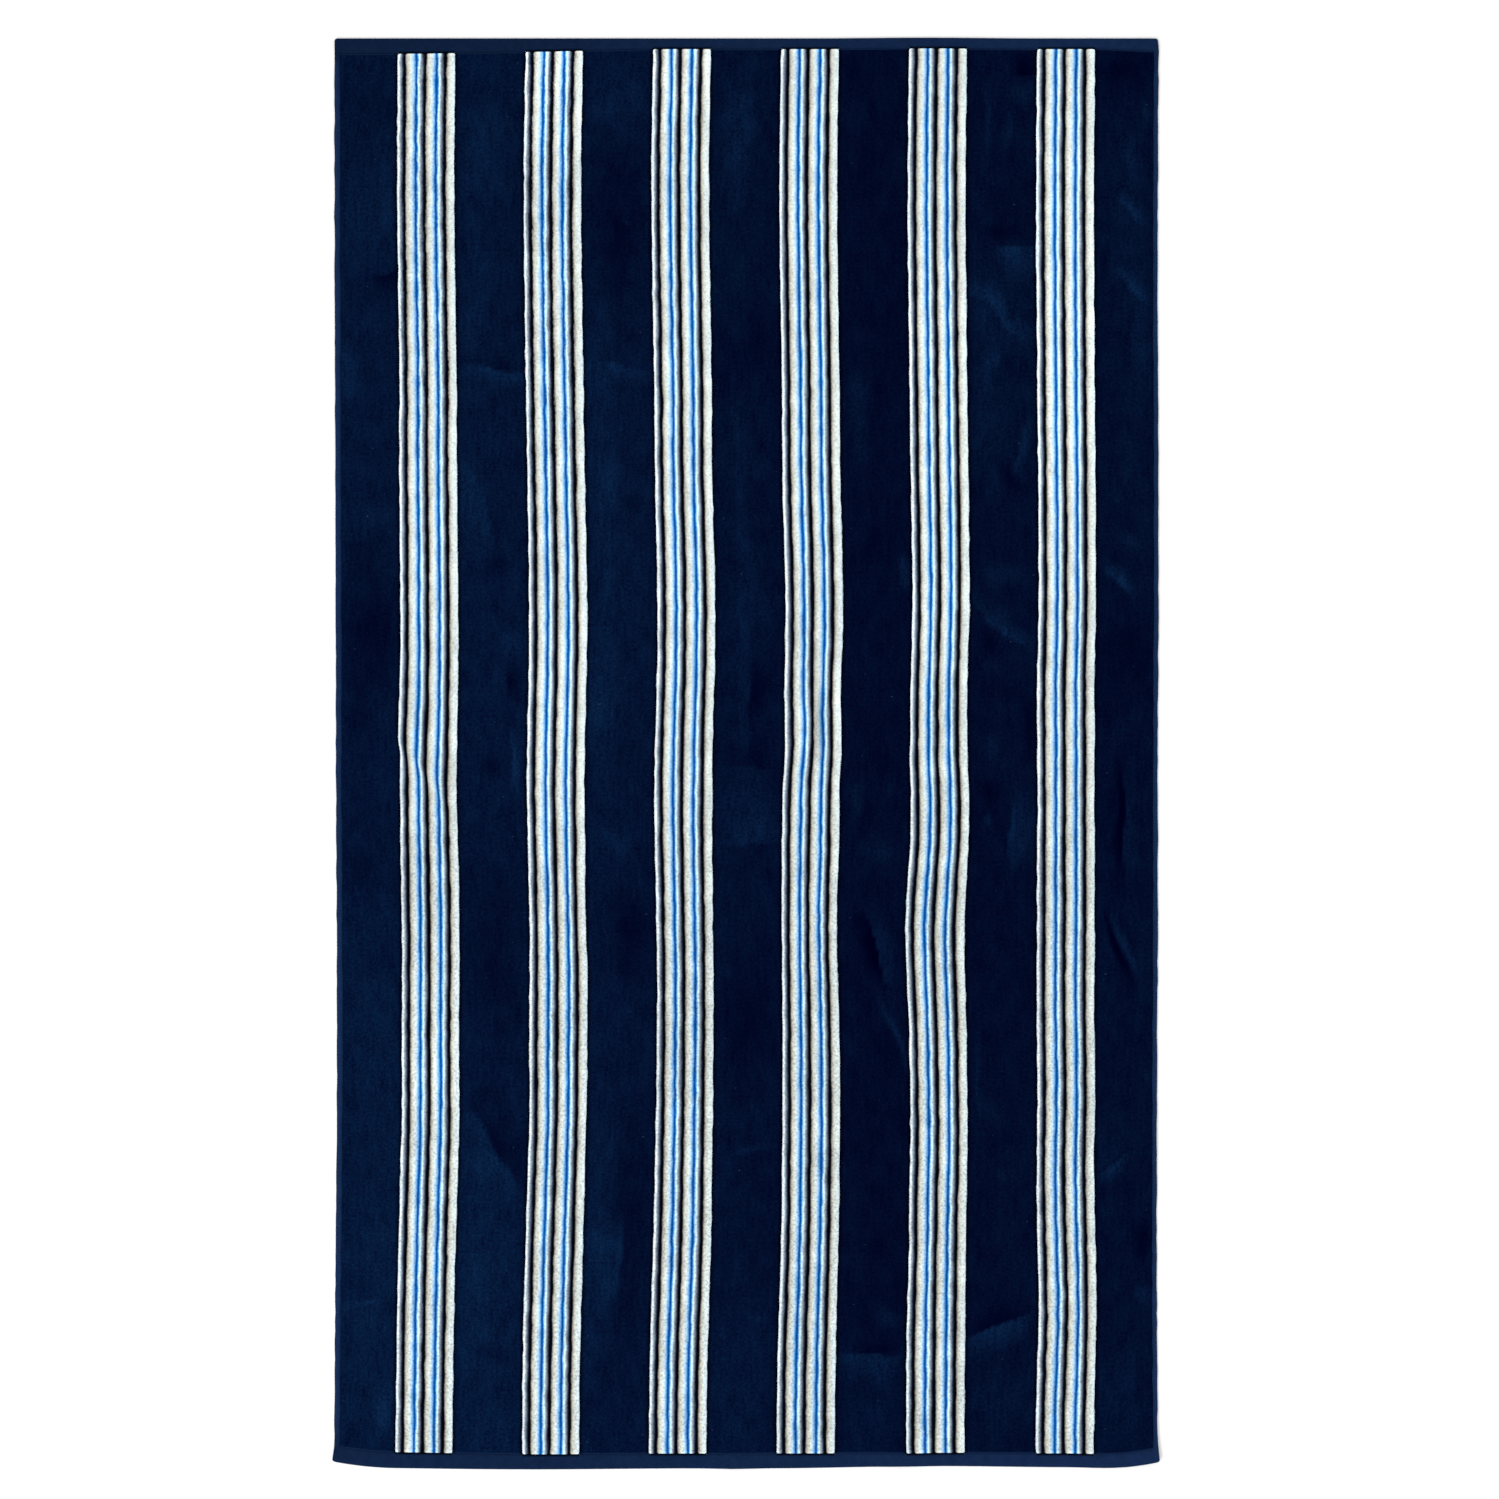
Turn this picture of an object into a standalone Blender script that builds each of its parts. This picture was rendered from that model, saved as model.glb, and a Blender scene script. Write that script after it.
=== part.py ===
"""A beach towel: one velour cotton cloth with turned hems, lying open and face up.

Metres, +Z up. The cloth lies on the plane z = 0 with its width along X and its length
along Y, and its origin is under the middle of its box. The underside is flat on that
plane, except where soft ridges and two curled corners stand off it.
"""

import math
from collections import namedtuple

import bmesh
import bpy

# The finished cloth
WIDTH = 1.016
LENGTH = 1.763
PILE_THICKNESS = 0.0032
HEM_THICKNESS = 0.0025

# Turned hems, and the band where the pile rises beside them
END_HEM = 0.0160
SIDE_HEM = 0.0070
PILE_RISE = 0.0030

# Cells of the sheet between the hems
CELLS_ACROSS = 28
CELLS_ALONG = 48

# The near end sags in the middle and turns up at its corners
NEAR_BOW = 0.0030
NEAR_BOW_PLACE = -0.10
CORNER_RISE = 0.0085
CORNER_REACH = 0.085
CORNER_FLARE = 0.0030
FLARE_REACH = 0.030
CORNER_CURL = 0.0040
CURL_REACH = 0.110

# Long shallow hollows where a side edge draws in
Hollow = namedtuple("Hollow", "side along reach depth")
HOLLOWS = (
    Hollow(side=-1, along=-0.42, reach=0.45, depth=0.0022),
    Hollow(side=-1, along=0.00, reach=0.75, depth=0.0018),
    Hollow(side=1, along=-0.56, reach=0.62, depth=0.0022),
    Hollow(side=1, along=-0.02, reach=0.22, depth=0.0008),
    Hollow(side=1, along=0.60, reach=0.30, depth=0.0010),
)

# Slight waves of the near end (-1) and the far end (1)
Wave = namedtuple("Wave", "end across reach rise")
END_WAVES = (
    Wave(end=-1, across=-0.275, reach=0.22, rise=-0.0014),
    Wave(end=-1, across=0.225, reach=0.19, rise=0.0022),
    Wave(end=-1, across=0.475, reach=0.085, rise=-0.0022),
    Wave(end=1, across=0.220, reach=0.14, rise=0.0009),
)

# Soft ridges in the cloth. Turn is the angle of a ridge's length from +Y, in degrees,
# anticlockwise from above
Ridge = namedtuple("Ridge", "across along turn length width height")
RIDGES = (
    Ridge(across=0.090, along=0.035, turn=24, length=0.34, width=0.12, height=0.0060),
    Ridge(across=-0.410, along=-0.020, turn=18, length=0.30, width=0.11, height=0.0045),
    Ridge(across=0.310, along=0.545, turn=42, length=0.30, width=0.12, height=0.0045),
    Ridge(across=0.305, along=0.165, turn=35, length=0.26, width=0.11, height=0.0035),
    Ridge(across=0.205, along=-0.215, turn=-14, length=0.36, width=0.13, height=0.0050),
    Ridge(across=0.440, along=-0.215, turn=22, length=0.24, width=0.10, height=0.0040),
    Ridge(across=0.450, along=-0.520, turn=-38, length=0.24, width=0.10, height=0.0040),
    Ridge(across=0.320, along=-0.705, turn=-55, length=0.26, width=0.11, height=0.0040),
    Ridge(across=-0.180, along=-0.590, turn=12, length=0.26, width=0.12, height=0.0035),
    Ridge(across=-0.190, along=0.480, turn=88, length=0.42, width=0.10, height=0.0035),
    Ridge(across=-0.305, along=0.230, turn=28, length=0.30, width=0.13, height=0.0040),
    Ridge(across=-0.010, along=-0.860, turn=4, length=0.22, width=0.10, height=0.0040),
    Ridge(across=0.200, along=-0.860, turn=-8, length=0.20, width=0.10, height=0.0035),
)

# Colour, roughness and metallic value of the cloth
NAVY = (0.0025, 0.009, 0.032, 1.0)
CLOTH_ROUGHNESS = 0.95
CLOTH_METALLIC = 0.0


def hump(distance, reach):
    """1 in the middle of a rounded hump, 0 from half its reach outwards."""
    if abs(distance) >= reach / 2:
        return 0.0
    return math.cos(math.pi * distance / reach) ** 2


def fade(distance, reach):
    """1 at distance 0, easing down to 0 at its reach."""
    return max(0.0, 1.0 - distance / reach) ** 2


def lines(size, hem, cells):
    """Places of the sheet's grid lines one way: both hems, the rise of the pile, even cells."""
    pile = size / 2 - hem - PILE_RISE
    even = [pile * (2 * i / cells - 1) for i in range(cells + 1)]
    return [-size / 2, -size / 2 + hem, *even, size / 2 - hem, size / 2]


def shaped(across, along):
    """Where a point of the flat rectangle lies within the towel's uneven outline."""
    share = across / (WIDTH / 2)
    to_near = along + LENGTH / 2
    near_share = 0.5 - along / LENGTH
    to_corner = WIDTH / 2 - abs(across)
    drawn_in = sum(
        hollow.side * hollow.depth * hump(along - hollow.along, 2 * hollow.reach)
        for hollow in HOLLOWS
        if hollow.side * across > 0
    )
    flare = CORNER_FLARE * fade(to_near, FLARE_REACH) * share
    bow = NEAR_BOW * (1 - hump(across - NEAR_BOW_PLACE, 2 * WIDTH))
    corner = CORNER_RISE * fade(to_corner, CORNER_REACH)
    x = across - drawn_in * abs(share) + flare
    y = along + (bow + corner) * near_share**3
    for wave in END_WAVES:
        end_share = 0.5 + wave.end * along / LENGTH
        y += wave.rise * hump(across - wave.across, 2 * wave.reach) * end_share**3
    return x, y


def height(across, along):
    """How far the underside stands off the surface."""
    total = 0.0
    for ridge in RIDGES:
        turn = math.radians(ridge.turn)
        right, up = across - ridge.across, along - ridge.along
        lengthways = up * math.cos(turn) - right * math.sin(turn)
        sideways = right * math.cos(turn) + up * math.sin(turn)
        total += ridge.height * hump(lengthways, ridge.length) * hump(sideways, ridge.width)
    corner = math.hypot(WIDTH / 2 - abs(across), along + LENGTH / 2)
    return total + CORNER_CURL * fade(corner, CURL_REACH)


def centred(bm):
    """Moves the sheet so that its outline's box is centred on the origin."""
    for axis in (0, 1):
        places = [vertex.co[axis] for vertex in bm.verts]
        middle = (min(places) + max(places)) / 2
        for vertex in bm.verts:
            vertex.co[axis] -= middle


def cloth_material():
    material = bpy.data.materials.new("navy_cotton")
    material.use_nodes = True
    shader = material.node_tree.nodes["Principled BSDF"]
    shader.inputs["Base Color"].default_value = NAVY
    shader.inputs["Roughness"].default_value = CLOTH_ROUGHNESS
    shader.inputs["Metallic"].default_value = CLOTH_METALLIC
    return material


def towel():
    """The cloth as one sheet, thickened upwards, thinner in its hems than in its pile."""
    across = lines(WIDTH, SIDE_HEM, CELLS_ACROSS)
    along = lines(LENGTH, END_HEM, CELLS_ALONG)
    bm = bmesh.new()
    bmesh.ops.create_grid(
        bm, x_segments=len(across) - 1, y_segments=len(along) - 1, size=1.0
    )
    pile = []
    for vertex in bm.verts:
        column = round((vertex.co.x + 1) / 2 * (len(across) - 1))
        row = round((vertex.co.y + 1) / 2 * (len(along) - 1))
        flat_x, flat_y = across[column], along[row]
        vertex.co = (*shaped(flat_x, flat_y), height(flat_x, flat_y))
        if 2 <= column < len(across) - 2 and 2 <= row < len(along) - 2:
            pile.append(vertex.index)
    centred(bm)
    mesh = bpy.data.meshes.new("towel")
    bm.to_mesh(mesh)
    bm.free()
    mesh.shade_smooth()
    mesh.materials.append(cloth_material())

    cloth = bpy.data.objects.new("towel", mesh)
    cloth.vertex_groups.new(name="pile").add(pile, 1.0, "REPLACE")
    solid = cloth.modifiers.new("thickness", "SOLIDIFY")
    solid.thickness = PILE_THICKNESS
    solid.offset = 1.0
    solid.vertex_group = "pile"
    solid.thickness_vertex_group = HEM_THICKNESS / PILE_THICKNESS
    return cloth


def clear_scene():
    for obj in list(bpy.data.objects):
        bpy.data.objects.remove(obj, do_unlink=True)


def main():
    clear_scene()
    collection = bpy.data.collections.new("beach_towel")
    bpy.context.scene.collection.children.link(collection)
    collection.objects.link(towel())


main()
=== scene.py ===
"""A striped beach towel lying open and face up.

Velour pile stands on a woven ground with a looped back and turned hems. Lengths are in
metres. A place on the flat cloth is (across, along): across runs to the right and along
runs to the far end, both from the middle. An end or a side is -1 (near, left) or 1 (far,
right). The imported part's origin is under the middle of its box.
"""

import math
from collections import namedtuple

import bpy
import numpy as np
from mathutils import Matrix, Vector


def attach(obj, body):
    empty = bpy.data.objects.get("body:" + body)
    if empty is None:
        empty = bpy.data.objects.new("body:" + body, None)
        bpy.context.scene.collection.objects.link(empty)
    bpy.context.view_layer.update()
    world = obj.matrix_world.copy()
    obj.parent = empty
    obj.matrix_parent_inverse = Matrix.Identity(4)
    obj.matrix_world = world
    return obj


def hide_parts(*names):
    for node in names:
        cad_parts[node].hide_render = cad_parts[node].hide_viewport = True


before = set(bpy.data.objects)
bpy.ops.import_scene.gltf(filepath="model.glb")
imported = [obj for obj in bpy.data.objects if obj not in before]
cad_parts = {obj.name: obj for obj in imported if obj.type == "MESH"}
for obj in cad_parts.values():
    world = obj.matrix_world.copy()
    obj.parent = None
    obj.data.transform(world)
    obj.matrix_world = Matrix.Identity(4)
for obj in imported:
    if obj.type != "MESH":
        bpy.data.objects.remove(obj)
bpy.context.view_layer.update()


def table(columns, *rows):
    """Rows with named columns; the last value is 0 in a row that leaves it out."""
    row = namedtuple("row", columns, defaults=(0,))
    return [row(*values) for values in rows]


# The finished cloth
WIDTH = 1.016
LENGTH = 1.763
SIDE_HEMS = {-1: 0.0072, 1: 0.0060}

# Heights above the cloth's underside
GROUND_TOP = 0.0013
PILE_FOOT = 0.0010
PILE_TOP = 0.0032
HEM_TOP = 0.0025
HEM_LAP = 0.0004  # how much the hems thicken where they cross at a corner

# Widths of the end hems at some places across, and how light their cloth looks there
HEM_COLUMNS = "across width tone"
END_HEMS = {
    -1: table(
        HEM_COLUMNS,
        (-0.508, 0.0197, 0.88),
        (-0.400, 0.0198, 0.93),
        (-0.250, 0.0187, 0.92),
        (0.050, 0.0185, 1.00),
        (0.215, 0.0165, 1.10),
        (0.508, 0.0178, 1.25),
    ),
    1: table(
        HEM_COLUMNS,
        (-0.508, 0.0192, 0.74),
        (-0.400, 0.0189, 0.74),
        (-0.250, 0.0165, 0.76),
        (-0.110, 0.0133, 0.90),
        (0.440, 0.0133, 1.15),
        (0.508, 0.0164, 1.05),
    ),
}
SIDE_TONE = 1.35  # how light the side hems look
END_TONE_FROM = 0.045  # this far from an end their tone starts to turn into the end hem's
END_TONE_FADE = 0.025  # and this much nearer the end it has turned

# The outline: the near end sags in the middle and turns up at its corners
NEAR_BOW = 0.0030
NEAR_BOW_PLACE = -0.10
CORNER_RISE = 0.0085
CORNER_REACH = 0.085
CORNER_FLARE = 0.0030
FLARE_REACH = 0.030
CORNER_CURL = 0.0040
CURL_REACH = 0.110
CORNER_ROUND = 0.0045

HOLLOWS = table(
    "side along reach depth",
    (-1, -0.42, 0.45, 0.0022),
    (-1, 0.00, 0.75, 0.0018),
    (1, -0.56, 0.62, 0.0022),
    (1, -0.02, 0.22, 0.0008),
    (1, 0.60, 0.30, 0.0010),
)
END_WAVES = table(
    "end across reach rise",
    (-1, -0.275, 0.22, -0.0014),
    (-1, 0.225, 0.19, 0.0022),
    (-1, 0.475, 0.085, -0.0022),
    (1, 0.220, 0.14, 0.0009),
)

# Soft ridges. Turn is the angle of a row's length from the along direction, in degrees,
# anticlockwise from above
RIDGE_COLUMNS = "across along turn length width height"
RIDGES = table(
    RIDGE_COLUMNS,
    (0.090, 0.035, 24, 0.34, 0.12, 0.0060),
    (-0.410, -0.020, 18, 0.30, 0.11, 0.0045),
    (0.310, 0.545, 42, 0.30, 0.12, 0.0045),
    (0.305, 0.165, 35, 0.26, 0.11, 0.0035),
    (0.205, -0.215, -14, 0.36, 0.13, 0.0050),
    (0.440, -0.215, 22, 0.24, 0.10, 0.0040),
    (0.450, -0.520, -38, 0.24, 0.10, 0.0040),
    (0.320, -0.705, -55, 0.26, 0.11, 0.0040),
    (-0.180, -0.590, 12, 0.26, 0.12, 0.0035),
    (-0.190, 0.480, 88, 0.42, 0.10, 0.0035),
    (-0.305, 0.230, 28, 0.30, 0.13, 0.0040),
    (-0.010, -0.860, 4, 0.22, 0.10, 0.0040),
    (0.200, -0.860, -8, 0.20, 0.10, 0.0035),
)

# Fine creases on those ridges; a negative height is a furrow
CREASES = table(
    RIDGE_COLUMNS,
    (-0.315, 0.474, 80, 0.110, 0.016, 0.0008),
    (-0.155, 0.475, 86, 0.120, 0.016, 0.0008),
    (-0.392, -0.055, 29, 0.170, 0.020, 0.0012),
    (0.081, 0.041, 0, 0.100, 0.014, -0.0012),
    (0.168, -0.345, 20, 0.100, 0.012, 0.0007),
    (0.452, -0.225, 20, 0.110, 0.012, -0.0008),
    (-0.010, -0.873, 6, 0.050, 0.012, 0.0012),
    (0.199, -0.873, -8, 0.050, 0.012, 0.0010),
)

# How far the threads have been pushed sideways. Each row's push is full at its place and
# eases to nothing over its reaches. Slant is how far the place climbs along per metre across
SWAYS = table(
    "across along left right up down push slant",
    (-0.08, 0.700, 0.60, 0.75, 0.26, 0.27, -0.0030),
    (0.02, 0.160, 0.70, 0.60, 0.36, 0.22, 0.0046),
    (-0.28, -0.290, 0.50, 0.50, 0.26, 0.36, 0.0044),
    (0.20, -0.215, 0.22, 0.17, 0.13, 0.15, -0.0050),
    (0.22, -0.470, 0.25, 0.20, 0.16, 0.15, 0.0018),
    (-0.02, -0.860, 0.80, 0.55, 0.42, 0.20, -0.0062),
    (0.42, -0.680, 0.20, 0.30, 0.20, 0.18, 0.0036),
    (0.08, 0.010, 0.13, 0.10, 0.10, 0.06, 0.0022),
    (0.27, -0.060, 0.16, 0.14, 0.07, 0.11, 0.0030),
    (-0.43, 0.026, 0.06, 0.10, 0.09, 0.031, -0.0020, -1.2),
    (-0.43, -0.005, 0.06, 0.10, 0.031, 0.14, 0.0014, -1.2),
    (0.00, 0.330, 0.33, 0.30, 0.13, 0.13, -0.0014),
    (0.30, 0.085, 0.24, 0.30, 0.12, 0.09, -0.0019),
    (0.02, -0.030, 0.14, 0.12, 0.08, 0.09, 0.0015),
    (-0.33, -0.330, 0.25, 0.20, 0.20, 0.14, -0.0021),
    (0.02, -0.600, 0.30, 0.25, 0.12, 0.17, 0.0014),
    (0.24, -0.150, 0.10, 0.14, 0.08, 0.08, 0.0014),
    (0.41, -0.410, 0.11, 0.10, 0.12, 0.13, 0.0018),
    (-0.40, 0.440, 0.12, 0.10, 0.25, 0.08, 0.0010),
    (-0.24, 0.550, 0.10, 0.10, 0.36, 0.35, -0.0010),
    (0.074, 0.041, 0.03, 0.008, 0.05, 0.05, 0.0012),
    (0.088, 0.041, 0.008, 0.03, 0.05, 0.05, -0.0012),
    (0.055, 0.020, 0.05, 0.03, 0.05, 0.05, 0.0010),
    (0.115, 0.075, 0.03, 0.05, 0.07, 0.05, -0.0016),
    (-0.02, -0.230, 0.04, 0.06, 0.08, 0.10, -0.0018),
    (-0.20, -0.190, 0.04, 0.05, 0.09, 0.10, -0.0014),
    (0.20, -0.620, 0.06, 0.06, 0.08, 0.08, 0.0013),
    (0.38, -0.700, 0.05, 0.05, 0.12, 0.12, 0.0011),
    (0.365, -0.690, 0.016, 0.007, 0.016, 0.014, 0.0006),
    (0.374, -0.690, 0.007, 0.020, 0.016, 0.014, -0.0012),
    (0.390, -0.667, 0.014, 0.007, 0.016, 0.014, 0.0008),
    (0.399, -0.667, 0.007, 0.020, 0.016, 0.014, -0.0010),
)
SIDE_HOLD = 0.070  # no sway at the side edges, all of it this far in
END_FALL = 3  # the shape of an end dies out with this power of the share of the length
OUTLINE_POINTS = 401  # on each edge, which give the outline's box

# Seeded noise in soft patches: their size across and along, their seed, and how much it is
Drift = namedtuple("Drift", "wide long seed amount")
THREAD_DRIFT = Drift(0.0060, 0.012, 11, 0.00055)
MARKS_DRIFT_ACROSS = Drift(0.030, 0.050, 21, 0.006)
MARKS_DRIFT_ALONG = Drift(0.040, 0.040, 22, 0.007)
NAP_DRIFTS = (Drift(0.024, 0.040, 23, 0.10), Drift(0.010, 0.017, 24, 0.12))
STRIPE_DRIFTS = (Drift(0.020, 0.030, 25, 0.20), Drift(0.0075, 0.0100, 26, 0.25))
HEIGHT_DRIFT = Drift(0.012, 0.018, 31, 0.00010)
SPARE_LINES = 3  # grid lines of such a noise beyond twice the size of the cloth

# The woven stripes. Groups of yarns repeat across the cloth, navy panels lie between them
PITCH = 0.1576
GROUPS = 6
GROUP_WIDTH = 0.0710
GROUPS_SHIFT = 0.0002  # how far the stripes as a whole lie to the right
OUTER_WHITE = 0.0020  # a group starts with this much plain white
OUTER_WHITE_END = 0.0030  # which has gone here
FIRST_BLACK = 0.00745  # where its first black yarn starts

# One repeat of the yarns in a group, from the start of a black one: the colour shades
# evenly from each place to the next. The last repeat ends in plain frost white
REPEAT = 0.02503
SHADES = table(
    "place colour",
    (0.0000, "black"),
    (0.0027, "black"),
    (0.0042, "beige"),
    (0.0057, "cream"),
    (0.0090, "ivory"),
    (0.0112, "sky"),
    (0.0129, "azure"),
    (0.0147, "blue"),
    (0.0165, "blue"),
    (0.0177, "azure"),
    (0.0188, "pale"),
    (0.0197, "pale"),
    # the pale rib's flank fades into black through grey yarn and painted shade
    (0.0211, "silver"),
    (0.0228, "ash"),
    (0.0240, "slate"),
)
BLACK_MIDDLE = 0.0012
LAST_IVORY = FIRST_BLACK + 2 * REPEAT + 0.0090
WHITENING = 0.0024  # over this width the last ivory turns to frost white

# Cotton colours as linear red, green and blue
COTTON = {
    "white": (0.735, 0.805, 0.850),
    "frost": (0.640, 0.745, 0.785),
    # greys that hold both grey yarn and the painted shade on a pale rib's flank
    "silver": (0.300, 0.350, 0.400),
    "ash": (0.100, 0.125, 0.180),
    "slate": (0.019, 0.029, 0.055),
    "black": (0.0004, 0.0010, 0.0034),
    "beige": (0.345, 0.340, 0.315),
    "cream": (0.550, 0.562, 0.500),
    "ivory": (0.665, 0.738, 0.718),
    "sky": (0.455, 0.665, 0.860),
    "azure": (0.170, 0.410, 0.760),
    "blue": (0.0005, 0.072, 0.310),
    "pale": (0.590, 0.845, 0.930),
    "navy": (0.0008, 0.0040, 0.0195),
}
# The navy pile in painted shade where its nap is pressed down, and in painted sheen where it is brushed
# up
NAVY_NAP_IN_SHADE = (0.0001, 0.0001, 0.0088)
NAVY_NAP_IN_SHEEN = (0.0033, 0.0184, 0.0628)
NAVY_LOOPS = (0.0025, 0.0090, 0.0320)
NAVY_WEAVE = (0.0058, 0.0165, 0.0530)
NAVY_THREAD = (0.0045, 0.0140, 0.0480)
LINT = (0.020, 0.036, 0.080)
PALE_FLOOR = (0.93, 0.93, 0.93)
PALE_SHEEN = (0.3, 0.4, 0.6)
NAVY_SHEEN = (0.03, 0.14, 0.50)
STRIPE_SHEEN = (0.6, 0.6, 0.6)
WARMED = (1.0, 0.975, 0.930)  # the tint of white cotton where it has yellowed a little

# Grains in the cloth: the size of their features, which are drawn out where across or along
# is under 1, their detail, and how far they swing the shade
Grain = namedtuple("Grain", "size across along detail swing", defaults=(1.0, 1.0, 2.0, 1.0))
TUFTS = Grain(0.0011, swing=1.3)
SPECKLE = Grain(0.0034, swing=1.5)
STREAKS = Grain(0.0050, along=0.18, detail=1.0, swing=0.7)
BRUSHING = Grain(0.020, along=0.65, swing=0.8)
FIBRE_LINES = Grain(0.0060)
FIBRE_PATCHES = Grain(0.0043)
FRAYING = Grain(0.0020, along=0.45, detail=1.0)
STRAYING = Grain(0.0045, along=0.14, detail=1.0)
CLUMPS = Grain(0.0030, detail=1.0)
YELLOWING = Grain(0.009, detail=3.0)
SLUBS = Grain(0.0016, across=0.25, swing=0.45)
WEAVE_MOTTLE = Grain(0.012, detail=3.0, swing=0.45)
LOOP_MOTTLE = Grain(0.014, detail=3.0, swing=0.4)
STRAY_FLECKS = Grain(0.0030, swing=0.4)
LINT_KINKS = Grain(0.0025)

# Masks: where each is 0 and where it is 1, as a distance or as the value of a grain
ALONG_A_FIBRE = (0.026, 0.004)
IN_FIBRE_PATCH = (0.48, 0.62)
IN_A_STRIPE = (0.0002, -0.0001)
BESIDE_A_STRIPE = (0.0055, 0.0010)
# painted highlight where the rounded end of the navy pile catches the light
LIT_NAVY_PILE_END = (0.0022, 0.0004)
LAST_STRIPE_TUFTS = (0.0045, 0.0015)
UNDER_STRIPE_ENDS = (0.0038, 0.0012)
IN_A_PIT = (0.48, 0.34)
ON_A_TIP = (0.56, 0.68)
YELLOWED = (0.45, 0.75)
CLUMPING_ALONG = (0.15, -0.35)
RAGGED_ALONG = (0.20, 0.50)
RAGGED_ACROSS = (-0.02, -0.22)

# Shades of the pile
LEVEL_NAP = 0.25  # the painted shade of level nap, and how much painted sheen brushing it up adds, or pressing it down takes
FIBRE_SHINE = 0.9  # how much lighter the longest fibres of the pile are
FIBRE_SHARE = 0.08  # the part of the pile that they cover
SEAM_SHADOW = 0.65  # how much darker the navy is right beside a stripe
END_SHADOW = 0.88  # how much darker the hem is right at a stripe's end
END_SHINE = 0.18  # how much lighter the painted shine makes the last tufts of a stripe
STRIPE_CONTRAST = 0.8  # how much of the pile's grain the coloured yarns show
STRIPE_DARKEST = 0.65  # how light they are where the pile's shade is 0
STRIPE_GAIN = 1.4  # how much the pile's shade lightens them
WEAVE_SWING = 0.25  # how far the threads of the hems swing its shade, painted darker where they dip under
LOOP_SWING = 0.7  # how far the loops of the back do, painted darker between the loops
TWIST_SWING = 0.5  # and the twist of the sewing thread
THREAD_TWISTS = 900.0  # for each metre of it

# Shares of the grains in the height of the pile
TUFT_HEIGHT = 0.6
SPECKLE_HEIGHT = 0.4
LINT_BEND = (0.004, 0.002, 0.0)  # how far specks of fluff are kinked

# Clumps in the pile of the stripes, with painted shade in their pits and painted highlights on their
# tips, which show more towards the near end
PIT_SHADE = 0.26
TIP_SHINE = 0.14
LEAST_CLUMPING = 0.52
EXTRA_CLUMPING = 0.34

# How far yarns stray from their place, and how much more where they are ragged
FRAY = 0.0007
EXTRA_FRAY = 0.0008
WANDER = 0.0011
EXTRA_WANDER = 0.0011
BACK_FRAY = 0.0020
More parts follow.
